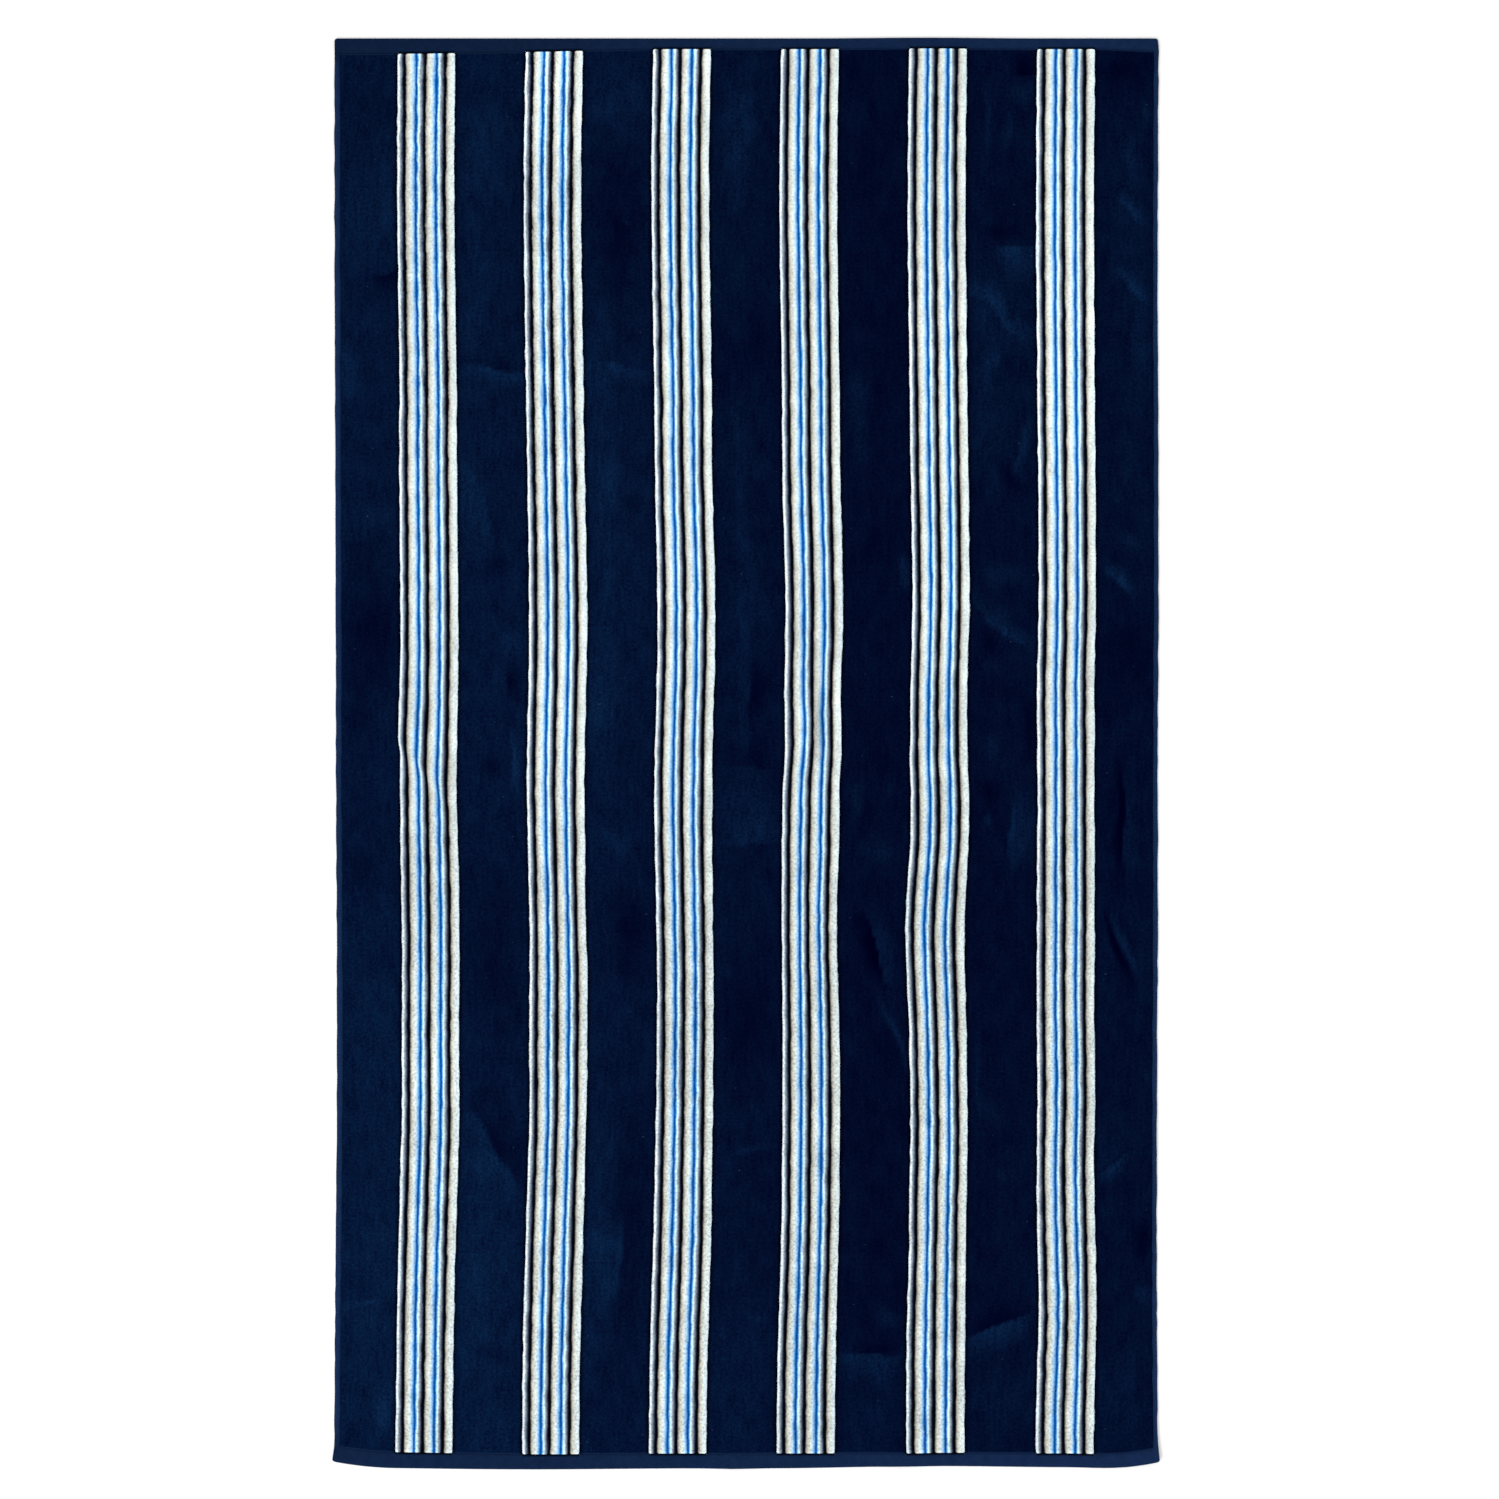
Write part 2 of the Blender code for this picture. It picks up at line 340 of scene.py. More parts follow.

# Painted sheen and shade from how the navy nap lies: brushed up (lean above 0, painted lighter) or
# pressed down (below 0, painted darker); the panels also paint light falling off to the right
PANEL_LEAN_AND_SHEEN = table(
    "across lean",
    (-0.466, 0.29),
    (-0.315, 0.25),
    (-0.158, 0.17),
    (0.000, -0.12),
    (0.158, -0.43),
    (0.315, -0.26),
    (0.466, -0.22),
)
PATCH_COLUMNS = "across along turn length width lean"
SOFT_MARKS = table(
    PATCH_COLUMNS,
    (-0.466, 0.805, 0, 0.10, 0.12, -0.30),
    (-0.466, 0.660, 0, 0.17, 0.12, 0.50),
    (-0.441, 0.680, 0, 0.15, 0.02, 0.60),
    (-0.488, 0.470, 0, 0.14, 0.05, 0.86),
    (-0.466, 0.140, 0, 0.30, 0.12, -0.83),
    (-0.466, -0.690, 0, 0.34, 0.12, 0.35),
    (-0.478, 0.015, 0, 0.12, 0.08, -0.45),
    (-0.466, -0.100, 0, 0.20, 0.12, -0.30),
    (-0.482, -0.140, 0, 0.07, 0.05, -0.37),
    (-0.460, -0.340, 0, 0.18, 0.10, 0.35),
    (-0.450, -0.600, 0, 0.95, 0.20, 0.34),
    (-0.470, -0.683, 90, 0.07, 0.012, 0.86),
    (-0.446, -0.815, 0, 0.09, 0.03, 1.38),
    (-0.322, 0.745, 0, 0.17, 0.09, 0.70),
    (-0.288, 0.690, 0, 0.14, 0.03, -0.32),
    (-0.283, 0.458, 90, 0.035, 0.030, 0.86),
    (-0.293, 0.137, 0, 0.06, 0.035, 1.03),
    (-0.310, 0.228, -50, 0.06, 0.04, -0.54),
    (-0.318, -0.017, 75, 0.05, 0.04, -0.64),
    (-0.335, 0.560, 0, 0.55, 0.050, 0.40),
    (-0.335, -0.680, 0, 0.30, 0.050, 0.50),
    (-0.315, -0.240, 0, 0.42, 0.14, -0.52),
    (-0.315, -0.640, 0, 0.50, 0.14, 0.50),
    (-0.307, -0.735, 65, 0.07, 0.030, -0.64),
    (-0.296, -0.705, -30, 0.05, 0.025, -0.54),
    (-0.315, -0.840, 0, 0.13, 0.14, 0.55),
    (-0.150, 0.805, 0, 0.10, 0.10, 0.70),
    (-0.158, 0.650, 0, 0.32, 0.13, -0.75),
    (-0.145, 0.656, 60, 0.016, 0.008, 1.72),
    (-0.182, 0.350, 0, 1.10, 0.050, 0.45),
    (-0.182, -0.600, 0, 0.50, 0.050, 0.55),
    (-0.145, -0.580, 0, 0.60, 0.080, -0.45),
    (-0.158, 0.280, 0, 0.60, 0.13, 0.25),
    (-0.173, 0.333, 0, 0.10, 0.05, 0.69),
    (-0.140, 0.306, 30, 0.04, 0.03, -0.64),
    (-0.178, 0.060, 0, 0.20, 0.06, 0.78),
    (-0.160, -0.113, 80, 0.05, 0.05, 0.78),
    (-0.150, -0.225, 0, 0.20, 0.11, -0.75),
    (0.000, 0.740, 0, 0.32, 0.12, 0.20),
    (-0.006, 0.770, 0, 0.26, 0.045, 0.78),
    (0.000, 0.490, 0, 0.18, 0.12, -0.41),
    (-0.006, 0.250, 0, 0.80, 0.035, 0.44),
    (0.000, 0.175, 0, 0.12, 0.12, 0.25),
    (0.000, -0.320, 0, 0.24, 0.12, -0.45),
    (0.004, -0.487, 85, 0.07, 0.014, 0.86),
    (0.018, -0.699, 80, 0.03, 0.016, 0.86),
    (0.000, -0.790, 0, 0.36, 0.12, 0.45),
    (0.138, 0.405, 0, 0.20, 0.035, 0.60),
    (0.194, 0.222, 0, 0.05, 0.025, 1.03),
    (0.135, -0.050, 0, 0.07, 0.035, 0.60),
    (0.158, -0.122, 80, 0.07, 0.05, 0.52),
    (0.183, -0.348, 19, 0.15, 0.010, 1.50),
    (0.179, -0.695, 60, 0.05, 0.035, 0.78),
    (0.158, -0.830, 0, 0.22, 0.12, 0.50),
    (0.300, 0.775, 4, 0.17, 0.012, 0.69),
    (0.322, 0.770, -2, 0.15, 0.014, 0.60),
    (0.337, 0.815, 90, 0.035, 0.03, 0.78),
    (0.315, 0.640, 90, 0.09, 0.03, -0.45),
    (0.290, 0.500, 0, 0.60, 0.045, 0.40),
    (0.315, 0.560, 0, 0.20, 0.13, 0.40),
    (0.300, 0.482, 90, 0.05, 0.05, 0.78),
    (0.315, 0.400, 0, 0.36, 0.12, 0.26),
    (0.318, 0.345, 40, 0.08, 0.04, -0.70),
    (0.315, 0.214, 90, 0.09, 0.045, 0.60),
    (0.300, 0.138, 40, 0.07, 0.035, -0.49),
    (0.346, 0.035, 0, 0.12, 0.035, -0.49),
    (0.306, 0.007, 0, 0.07, 0.02, 0.69),
    (0.299, -0.048, 90, 0.05, 0.055, -0.43),
    (0.296, -0.087, 0, 0.028, 0.016, 1.03),
    (0.315, -0.240, 0, 0.50, 0.14, -0.15),
    (0.286, -0.397, 0, 0.15, 0.014, 0.69),
    (0.318, -0.523, 20, 0.03, 0.02, 0.86),
    (0.315, -0.800, 0, 0.18, 0.13, 0.35),
    (0.466, 0.840, 0, 0.10, 0.12, -0.45),
    (0.490, 0.789, 0, 0.05, 0.02, 0.78),
    (0.471, 0.725, 20, 0.09, 0.03, 0.69),
    (0.466, 0.650, 0, 0.36, 0.12, 0.40),
    (0.441, 0.603, 0, 0.07, 0.02, -0.59),
    (0.466, 0.360, 0, 0.36, 0.12, 0.20),
    (0.472, 0.265, 60, 0.05, 0.03, 1.03),
    (0.484, 0.520, 0, 0.30, 0.040, 0.60),
    (0.466, -0.090, 0, 0.22, 0.06, -0.50),
    (0.466, 0.115, 0, 0.18, 0.12, -0.41),
    (0.457, -0.236, 20, 0.14, 0.014, -1.10),
    (0.467, -0.240, 18, 0.13, 0.011, 1.20),
    (0.492, -0.397, 90, 0.02, 0.03, 0.86),
    (0.466, -0.480, 0, 0.10, 0.10, 0.25),
    (0.488, -0.603, 0, 0.10, 0.035, -0.45),
    (0.489, -0.667, 90, 0.03, 0.04, 1.03),
    (0.466, -0.780, 0, 0.22, 0.12, 0.30),
)

# Marks of painted sheen (lean above 0) and painted shade (below 0), with one crisp side, to the left of a
# row's length, and one that fades out
STROKES = table(
    PATCH_COLUMNS,
    (-0.442, 0.576, 270, 0.045, 0.036, -1.06),
    (-0.478, 0.235, 270, 0.045, 0.050, -0.53),
    (-0.472, -0.655, 90, 0.080, 0.050, -0.66),
    (-0.315, 0.482, 80, 0.100, 0.024, -0.66),
    (-0.315, 0.460, 260, 0.100, 0.024, 1.38),
    (-0.351, 0.305, 197, 0.150, 0.046, 1.24),
    (-0.285, 0.088, 0, 0.052, 0.028, -1.20),
    (-0.283, -0.015, 0, 0.100, 0.016, 1.79),
    (-0.288, -0.473, 32, 0.160, 0.060, -0.99),
    (-0.335, -0.502, 212, 0.160, 0.050, 0.96),
    (-0.157, 0.464, 265, 0.100, 0.026, 1.24),
    (-0.170, -0.625, 176, 0.120, 0.038, 1.51),
    (0.018, 0.079, 0, 0.075, 0.032, -0.79),
    (0.000, 0.007, 90, 0.085, 0.050, -0.60),
    (0.003, -0.064, 90, 0.090, 0.090, 1.00),
    (0.175, -0.236, 15, 0.130, 0.028, 0.95),
    (0.151, -0.242, 195, 0.120, 0.024, -0.85),
    (0.165, -0.725, 105, 0.065, 0.035, -0.50),
    (0.158, -0.763, 270, 0.090, 0.045, 1.51),
    (0.341, 0.850, 90, 0.040, 0.035, -0.79),
    (0.332, 0.598, 270, 0.055, 0.050, 1.65),
    (0.315, 0.546, 44, 0.130, 0.024, 1.79),
    (0.339, 0.381, -14, 0.080, 0.014, 1.38),
    (0.319, 0.161, 55, 0.110, 0.024, 1.65),
    (0.343, -0.092, 0, 0.125, 0.036, 1.50),
    (0.318, -0.722, -61, 0.110, 0.036, 1.79),
    (0.302, -0.691, 119, 0.110, 0.036, -0.59),
    (0.478, 0.670, 49, 0.055, 0.016, 1.79),
    (0.480, 0.581, 42, 0.060, 0.016, 2.06),
    (0.463, 0.216, 56, 0.065, 0.018, 2.34),
    (0.4785, -0.085, 0, 0.160, 0.022, 0.90),
    (0.4625, -0.085, 180, 0.160, 0.011, -0.85),
    (0.459, -0.511, -60, 0.060, 0.018, 1.51),
)
CRISP_SIDE = 0.0015  # how wide the crisp side is
TIP_POWER = 0.5  # of the hump along a mark, which keeps it strong almost to its tips

# Painted light on the nap of the stripes, lighter towards the far end: its lean at places along, and the
# soft marks on it
STRIPE_SHEEN_SLOPE = {-0.88: -0.16, -0.20: -0.10, 0.30: 0.24, 0.88: 0.30}
STRIPE_SHEEN_MARKS = table(
    PATCH_COLUMNS,
    (-0.400, 0.610, 0, 0.24, 0.14, -0.35),
    (-0.394, -0.100, 0, 0.50, 0.14, -0.20),
    (-0.394, -0.385, 0, 0.18, 0.14, 0.45),
    (-0.394, -0.860, 0, 0.16, 0.14, -0.15),
    (-0.236, 0.840, 0, 0.26, 0.14, 0.65),
    (-0.236, 0.670, 0, 0.16, 0.14, -0.25),
    (-0.236, 0.020, 0, 0.44, 0.14, 0.25),
    (-0.079, 0.840, 0, 0.20, 0.14, 0.25),
    (-0.079, 0.680, 0, 0.18, 0.14, -0.20),
    (-0.079, -0.290, 0, 0.44, 0.14, -0.20),
    (0.079, 0.150, 0, 0.60, 0.14, -0.10),
    (0.110, 0.060, 0, 0.16, 0.024, 1.00),
    (0.087, 0.033, 0, 0.14, 0.020, -1.30),
    (0.079, -0.720, 0, 0.50, 0.14, -0.15),
    (0.236, 0.400, 0, 0.80, 0.14, 0.25),
    (0.394, 0.520, 0, 0.90, 0.30, 0.45),
    (0.386, -0.660, 40, 0.06, 0.030, 0.60),
)

# Grid cells of the pile, and how many of them one cell of its hidden foot spans
PILE_CELL = 0.0039
YARN_CELL = 0.0014
YARN_ROW = 0.0036
FOOT_SPAN = 3
SHEET_CELL = 0.012
SIDE_LINES = np.array([0.0, 0.0003, 0.0009])  # closer grid lines at the sides of a slab of pile
END_LINES = np.array([0.0, 0.0003, 0.0009, 0.0022])  # and at its ends

# Shape of the pile
SLAB_GAP = 0.0002
SHOULDER = 0.0010  # how far in from its edges it reaches its full height
EDGE_SHARE = 0.45  # the share of its height that it has at its edges
NAP_RISE = 0.00020  # how much nap that is brushed up adds
YARN_RISE = 0.00012  # how far the coloured yarns stand above the navy ones
GROOVE_DEPTH = 0.00038  # of the grooves at the black yarns
GROOVE_WIDTH = 0.0060
YARN_NOTCH = 0.0018  # how far before the hem the black yarns and a group's sides end
BLACK_NOTCH = 0.0072  # how wide that is at a black yarn
SIDE_NOTCH = 0.0020  # and at a side

# Shape of the sheet: grid lines from an edge inwards and from the pile outwards, the step
# up to a hem, and the seams that sink into the face and stand off the back
EDGE_LINES = (0.0, 0.0003, 0.0008, 0.0016)
SEAM_LINES = (0.0030, 0.0018, 0.0006, 0.0, -0.0010)
HEM_STEP = 0.0008
FACE_SEAM = 0.0022
BACK_SEAM = 0.0030
BACK_SEAM_RISE = 0.0003

# Sewing
STITCH_PITCH = 0.0032
STITCH_LENGTH = 0.0026
THREAD = 0.0004
STITCH_INSET = 0.0018
STITCH_SINK = 0.00035
STITCH_RISE = 0.0001
SEAM_START = 0.004  # where an end's seam starts, from the side
SEAM_POINTS = 24  # on the path along an end's seam

# Stray tufts: their sizes, how far they scatter and lean, and how much their sizes vary
TUFT_SPACING = 0.0020
TUFT_THICKNESS = 0.0004
TUFT_LENGTH = 0.0011
TUFT_SCATTER = 0.0003
SCATTER_UP = 0.3  # as a share of the scatter sideways
TUFT_LEAN = 1.1  # radians
LEAST_TUFT = (0.7, 0.7, 0.6)
LARGEST_TUFT = (1.2, 1.2, 1.3)
TUFT_INSET = 0.0004
TUFT_SINK = 0.0008
TUFT_POINTS = 6  # on a path along the end of a slab
PATH_STEP = 0.005

# Bake maps: the margin round them, and the strips of a slab's map that its foot and its
# sides take beside its top
MARGIN = 0.005
INSIDE = 0.99
TOP_STRIP = 0.90
FOOT_START = 0.925
FOOT_STRIP = 0.04
SIDE_STRIP = (0.972, 0.992)
HALF_STRIP = 0.49
TUFT_INSIDE = 0.98
TUFT_MARGIN = 0.008
TUFT_PATCH = 0.003

# The photograph at the towel, and the camera that takes it
MM_A_PIXEL = 1.2323
PHOTO_PIXELS = 1499
LENS = 85.0
SENSOR = 36.0
CAMERA_PLACE = (0.00425, 0.0050)

FLOOR_REACH = 40.0
FLOOR_DROP = 0.0003

CLOTH_MAP = "cloth"
BAKE_MAP = "OFBake"
NODE = "towel"


# ---------------------------------------------------------------- laying the cloth


def lobe(distance, before, after):
    """1 at distance 0, easing to 0 over one reach before it and another after it."""
    reach = np.where(distance < 0, before, after)
    return np.cos(np.pi / 2 * np.clip(np.abs(distance) / reach, 0, 1)) ** 2


def hump(distance, width):
    """1 in the middle of a rounded hump, 0 from half its width outwards."""
    return lobe(distance, width / 2, width / 2)


def fade(distance, reach):
    """1 at distance 0, easing down to 0 at its reach."""
    return np.clip(1 - distance / reach, 0, 1) ** 2


def eased(value):
    """0 up to value 0 and 1 from value 1 on, with a smooth rise between."""
    share = np.clip(value, 0, 1)
    return share * share * (3 - 2 * share)


def turned(across, along, row):
    """Distances from a table row's place, lengthways and sideways."""
    turn = math.radians(row.turn)
    right, up = across - row.across, along - row.along
    lengthways = up * math.cos(turn) - right * math.sin(turn)
    sideways = right * math.cos(turn) + up * math.sin(turn)
    return lengthways, sideways


def humps(across, along, rows):
    """The last values of a table's rows, each over its own rounded patch, added up."""
    total = 0.0
    for row in rows:
        lengthways, sideways = turned(across, along, row)
        total = total + row[-1] * hump(lengthways, row.length) * hump(sideways, row.width)
    return total


def drifting(across, along, drift):
    """Smooth noise, up to the drift's amount either way, the same on every run."""
    column, row = (across + WIDTH) / drift.wide, (along + LENGTH) / drift.long
    lines = [int(2 * side) + SPARE_LINES for side in (LENGTH / drift.long, WIDTH / drift.wide)]
    lattice = np.random.default_rng(drift.seed).uniform(-1, 1, lines)
    left, low = np.floor(column).astype(int), np.floor(row).astype(int)
    right_share, up_share = eased(column - left), eased(row - low)
    lower, upper = (
        lattice[line, left] * (1 - right_share) + lattice[line, left + 1] * right_share
        for line in (low, low + 1)
    )
    return drift.amount * (lower * (1 - up_share) + upper * up_share)


def swayed(across, along):
    """How far a thread has been pushed sideways."""
    push = 0.0
    for sway in SWAYS:
        right = across - sway.across
        up = along - sway.along - sway.slant * right
        push = push + sway.push * lobe(right, sway.left, sway.right) * lobe(up, sway.down, sway.up)
    held = eased((WIDTH / 2 - np.abs(across)) / SIDE_HOLD)
    return push * held + drifting(across, along, THREAD_DRIFT)


def shaped(across, along):
    """Where a point of the flat rectangle lies within the towel's uneven outline."""
    share = across / (WIDTH / 2)
    near_share = 0.5 - along / LENGTH
    drawn_in = 0.0
    for hollow in HOLLOWS:
        dip = hollow.side * hollow.depth * hump(along - hollow.along, 2 * hollow.reach)
        drawn_in = drawn_in + np.where(hollow.side * across > 0, dip, 0.0)
    flare = CORNER_FLARE * fade(along + LENGTH / 2, FLARE_REACH) * share
    bow = NEAR_BOW * (1 - hump(across - NEAR_BOW_PLACE, 2 * WIDTH))
    corner = CORNER_RISE * fade(WIDTH / 2 - np.abs(across), CORNER_REACH)
    x = across - drawn_in * np.abs(share) + flare
    y = along + (bow + corner) * near_share**END_FALL
    for wave in END_WAVES:
        end_share = 0.5 + wave.end * along / LENGTH
        y = y + wave.rise * hump(across - wave.across, 2 * wave.reach) * end_share**END_FALL
    return x, y


def outline_middle():
    """The middle of the shaped outline's box, which lies over the origin."""
    share = np.linspace(-0.5, 0.5, OUTLINE_POINTS)
    edge = np.full(share.size, 0.5)
    across = WIDTH * np.concatenate([share, share, -edge, edge])
    along = LENGTH * np.concatenate([-edge, edge, share, share])
    x, y = shaped(across, along)
    return (x.min() + x.max()) / 2, (y.min() + y.max()) / 2


MIDDLE_X, MIDDLE_Y = outline_middle()


def base_height(across, along):
    """How far the underside stands off the surface."""
    corner = np.hypot(WIDTH / 2 - np.abs(across), along + LENGTH / 2)
    ridged = humps(across, along, (*RIDGES, *CREASES))
    return np.maximum(ridged, 0.0) + CORNER_CURL * fade(corner, CURL_REACH)


def lay(across, along, lift):
    """Points of the lying cloth, lifted by that much above its underside."""
    across, along, lift = np.broadcast_arrays(across, along, lift)
    x, y = shaped(across, along)
    x = x + swayed(across, along) - MIDDLE_X
    return np.stack([x, y - MIDDLE_Y, base_height(across, along) + lift], axis=-1)


def read(table, column, across):
    """A column of a table at a place across, between its rows."""
    return np.interp(across, [row.across for row in table], [getattr(row, column) for row in table])


def hem_width(end, across):
    return read(END_HEMS[end], "width", across)


def seam(end, across, inset=0.0):
    """Place along where an end's pile stops and its hem starts, or that much nearer the end."""
    return end * (LENGTH / 2 - hem_width(end, across) + inset)


def hem_tone(across, along):
    """How light the hems look: as their tables say at the ends, and at the sides."""
    near, far = (read(END_HEMS[end], "tone", across) for end in (-1, 1))
    at_end = eased((np.abs(along) - LENGTH / 2 + END_TONE_FROM) / END_TONE_FADE)
    return SIDE_TONE + (np.where(along > 0, far, near) - SIDE_TONE) * at_end


def nap_lean_and_sheen(across, along):
    """How far the navy nap is brushed up, about 1, or pressed down, about -1; this raises the pile and
    sets its painted sheen and shade.
    """
    drift_across = drifting(across, along, MARKS_DRIFT_ACROSS)
    drift_along = drifting(across, along, MARKS_DRIFT_ALONG)
    across, along = across + drift_across, along + drift_along
    lean = read(PANEL_LEAN_AND_SHEEN, "lean", across) + humps(across, along, SOFT_MARKS)
    for stroke in STROKES:
        lengthways, sideways = turned(across, along, stroke)
        from_edge = sideways + stroke.width / 2
        crisp = eased(from_edge / CRISP_SIDE) * np.clip(1 - from_edge / stroke.width, 0, 1)
        lean = lean + stroke.lean * crisp * hump(lengthways, stroke.length) ** TIP_POWER
    return lean + sum(drifting(across, along, drift) for drift in NAP_DRIFTS)


def stripe_sheen_and_shade(across, along):
    """How far the nap of the stripes is brushed up or pressed down, which sets their painted sheen and
    shade.
    """
    lean = np.interp(along, list(STRIPE_SHEEN_SLOPE), list(STRIPE_SHEEN_SLOPE.values()))
    lean = lean + humps(across, along, STRIPE_SHEEN_MARKS)
    return lean + sum(drifting(across, along, drift) for drift in STRIPE_DRIFTS)


# ---------------------------------------------------------------- meshes


def grid_faces(numbers):
    """Quads over a grid of vertex numbers, facing up."""
    corners = (numbers[:-1, :-1], numbers[:-1, 1:], numbers[1:, 1:], numbers[1:, :-1])
    return np.stack(corners, axis=-1).reshape(-1, 4)


def grid_ring(numbers):
    """The grid's outer vertex numbers, anticlockwise from above."""
    sides = (numbers[0, :-1], numbers[:-1, -1], numbers[-1, :0:-1], numbers[:0:-1, 0])
    return np.concatenate(sides)


def kept_lines(count):
    """Numbers of the grid lines that the coarse foot keeps."""
    return sorted({*range(0, count, FOOT_SPAN), count - 1})


def with_part(grid, part):
    """The values of a grid, followed by those of one part of it."""
    values = grid.shape[2:]
    return np.concatenate([grid.reshape(-1, *values), grid[part].reshape(-1, *values)])


def part_numbers(grid, part):
    """Vertex numbers of a part of a grid, where they follow those of the whole grid."""
    return grid.size + np.arange(grid[part].size).reshape(grid[part].shape)


Shape = namedtuple("Shape", "points faces places bake marks")


def slab(across, along, lift, lean):
    """A closed low slab of pile: a fine top grid, its sides and a coarse foot.

    Its marks say how its nap leans, which the materials paint as sheen and shade, and how far each point
    is from the nearer end."""
    top_numbers = np.arange(across.size).reshape(across.shape)
    kept = np.ix_(*map(kept_lines, across.shape))
    foot_numbers = part_numbers(across, kept)
    foot_of = np.full(across.size, -1)
    foot_of[top_numbers[kept]] = foot_numbers

    ring = grid_ring(top_numbers)
    stops = np.flatnonzero(foot_of[ring] >= 0)
    runs = list(zip(stops, [*stops[1:], len(ring)]))
    sides = []
    for start, end in runs:
        run = ring[np.arange(start, end + 1) % len(ring)]
        sides.append([int(number) for number in (foot_of[run[0]], foot_of[run[-1]], *run[::-1])])

    top_faces = grid_faces(top_numbers)
    foot_faces = grid_faces(foot_numbers)[:, ::-1]
    faces = [*top_faces.tolist(), *foot_faces.tolist(), *sides]
    top = lay(across, along, lift).reshape(-1, 3)
    foot = lay(across[kept], along[kept], PILE_FOOT).reshape(-1, 3)
    places = with_part(np.stack([across, along], axis=-1), kept)
    share = (places - places.min(axis=0)) / np.ptp(places, axis=0)
    bake = slab_bake(share[top_faces.ravel()], share[foot_faces.ravel()], runs, len(ring))
    to_end = np.minimum(along - along.min(axis=0), along.max(axis=0) - along)
    marks = {"nap": lean(*places.T), "to_end": with_part(to_end, kept)}
    return Shape(np.concatenate([top, foot]), faces, places, bake, marks)


def slab_bake(top, foot, runs, count):
    """Bake places of a slab's face corners: most room for its top, strips for the rest."""
    bake = [top * (TOP_STRIP, INSIDE) + MARGIN]
    bake.append(foot * (FOOT_STRIP, INSIDE) + (FOOT_START, MARGIN))
    low, high = SIDE_STRIP
    for start, end in runs:
        steps = np.arange(end, start - 1, -1) / count * INSIDE + MARGIN
        bake.append([(low, steps[-1]), (low, steps[0])])
        bake.append([(high, step) for step in steps])
    return np.concatenate(bake)


def together(shapes):
    """Several shapes as one, side by side in the bake map."""
    faces, bake, count = [], [], 0
    for index, shape in enumerate(shapes):
        faces.extend([[corner + count for corner in face] for face in shape.faces])
        bake.append((shape.bake + (index, 0)) / (len(shapes), 1))
        count += len(shape.points)
    points = np.concatenate([shape.points for shape in shapes])
    places = np.concatenate([shape.places for shape in shapes])
    labels = shapes[0].marks
    marks = {label: np.concatenate([shape.marks[label] for shape in shapes]) for label in labels}
    return Shape(points, faces, places, np.concatenate(bake), marks)


def in_scene(name, data):
    """A new object of that mesh, light or camera, in the scene."""
    obj = bpy.data.objects.new(name, data)
    bpy.context.scene.collection.objects.link(obj)
    return obj


def corners_of(mesh):
    """The vertex number at each of a mesh's face corners."""
    corners = np.empty(len(mesh.loops), dtype=np.int32)
    mesh.loops.foreach_get("vertex_index", corners)
    return corners


def set_maps(mesh, cloth, bake):
    """Gives a mesh its cloth map and its bake map, both by face corner."""
    mesh.uv_layers.new(name=CLOTH_MAP).data.foreach_set("uv", cloth.ravel())
    mesh.uv_layers.new(name=BAKE_MAP).data.foreach_set("uv", bake.ravel())


def piece(name, shape, materials):
    """A mesh object of that shape, with its maps and marks."""
    mesh = bpy.data.meshes.new(name)
    mesh.from_pydata(shape.points.tolist(), [], shape.faces)
    set_maps(mesh, shape.places[corners_of(mesh)], shape.bake)
    for label, values in shape.marks.items():
        mesh.attributes.new(label, "FLOAT", "POINT").data.foreach_set("value", values)
    for material in materials:
        mesh.materials.append(material)
    mesh.shade_smooth()
    return in_scene(name, mesh)


# ---------------------------------------------------------------- node helpers


VECTOR, FLOAT, COLOUR = "NodeSocketVector", "NodeSocketFloat", "NodeSocketColor"
GEOMETRY, MATERIAL, WHOLE = "NodeSocketGeometry", "NodeSocketMaterial", "NodeSocketInt"
MIX_LOW, MIX_HIGH, MIX_RESULT = 6, 7, 2  # a mix node's sockets for colours


def add(tree, kind, inputs=None, **settings):
    """A new node, with its settings made and its inputs linked or set."""
    node = tree.nodes.new(kind)
    for name, value in settings.items():
        setattr(node, name, value)
    for name, value in (inputs or {}).items():
        if isinstance(value, bpy.types.NodeSocket):
            tree.links.new(value, node.inputs[name])
        else:
            node.inputs[name].default_value = value
    return node


def made(tree, kind, inputs=None, **settings):
    """The first output of a new node."""
    return add(tree, kind, inputs, **settings).outputs[0]


def maths(tree, operation, *values):
    return made(tree, "ShaderNodeMath", dict(enumerate(values)), operation=operation)


def scaled(tree, vector, by):
    """The vector with each of its parts multiplied."""
    return made(tree, "ShaderNodeVectorMath", {0: vector, 1: by}, operation="MULTIPLY")


def tinted(tree, colour, by):
    """A colour made lighter or darker by a factor."""
    return made(tree, "ShaderNodeVectorMath", {0: colour, "Scale": by}, operation="SCALE")


def one_axis(tree, vector, axis):
    return add(tree, "ShaderNodeSeparateXYZ", {"Vector": vector}).outputs[axis]


def noise(tree, cloth, grain, output="Fac"):
    """A grain's value, from 0 to 1, over the flat cloth."""
    if grain.across != 1 or grain.along != 1:
        cloth = scaled(tree, cloth, (grain.across, grain.along, 1.0))
    inputs = {"Vector": cloth, "Scale": 1 / grain.size, "Detail": grain.detail}
    return add(tree, "ShaderNodeTexNoise", inputs, noise_dimensions="2D").outputs[output]


def grains(tree, cloth, *kinds):
    """Grains with their swings, for varied()."""
    return [(noise(tree, cloth, grain), grain.swing) for grain in kinds]


def varied(tree, *parts):
    """1 plus each value, from 0 to 1, turned into a swing of its amount about 0."""
    total = 1.0
    for value, amount in parts:
        swing = maths(tree, "MULTIPLY", maths(tree, "SUBTRACT", value, 0.5), amount)
        total = maths(tree, "ADD", total, swing)
    return total


def opaque(colour):
    """A plain colour with its alpha; a linked one stays as it is."""
    return (*colour, 1.0) if isinstance(colour, tuple) else colour


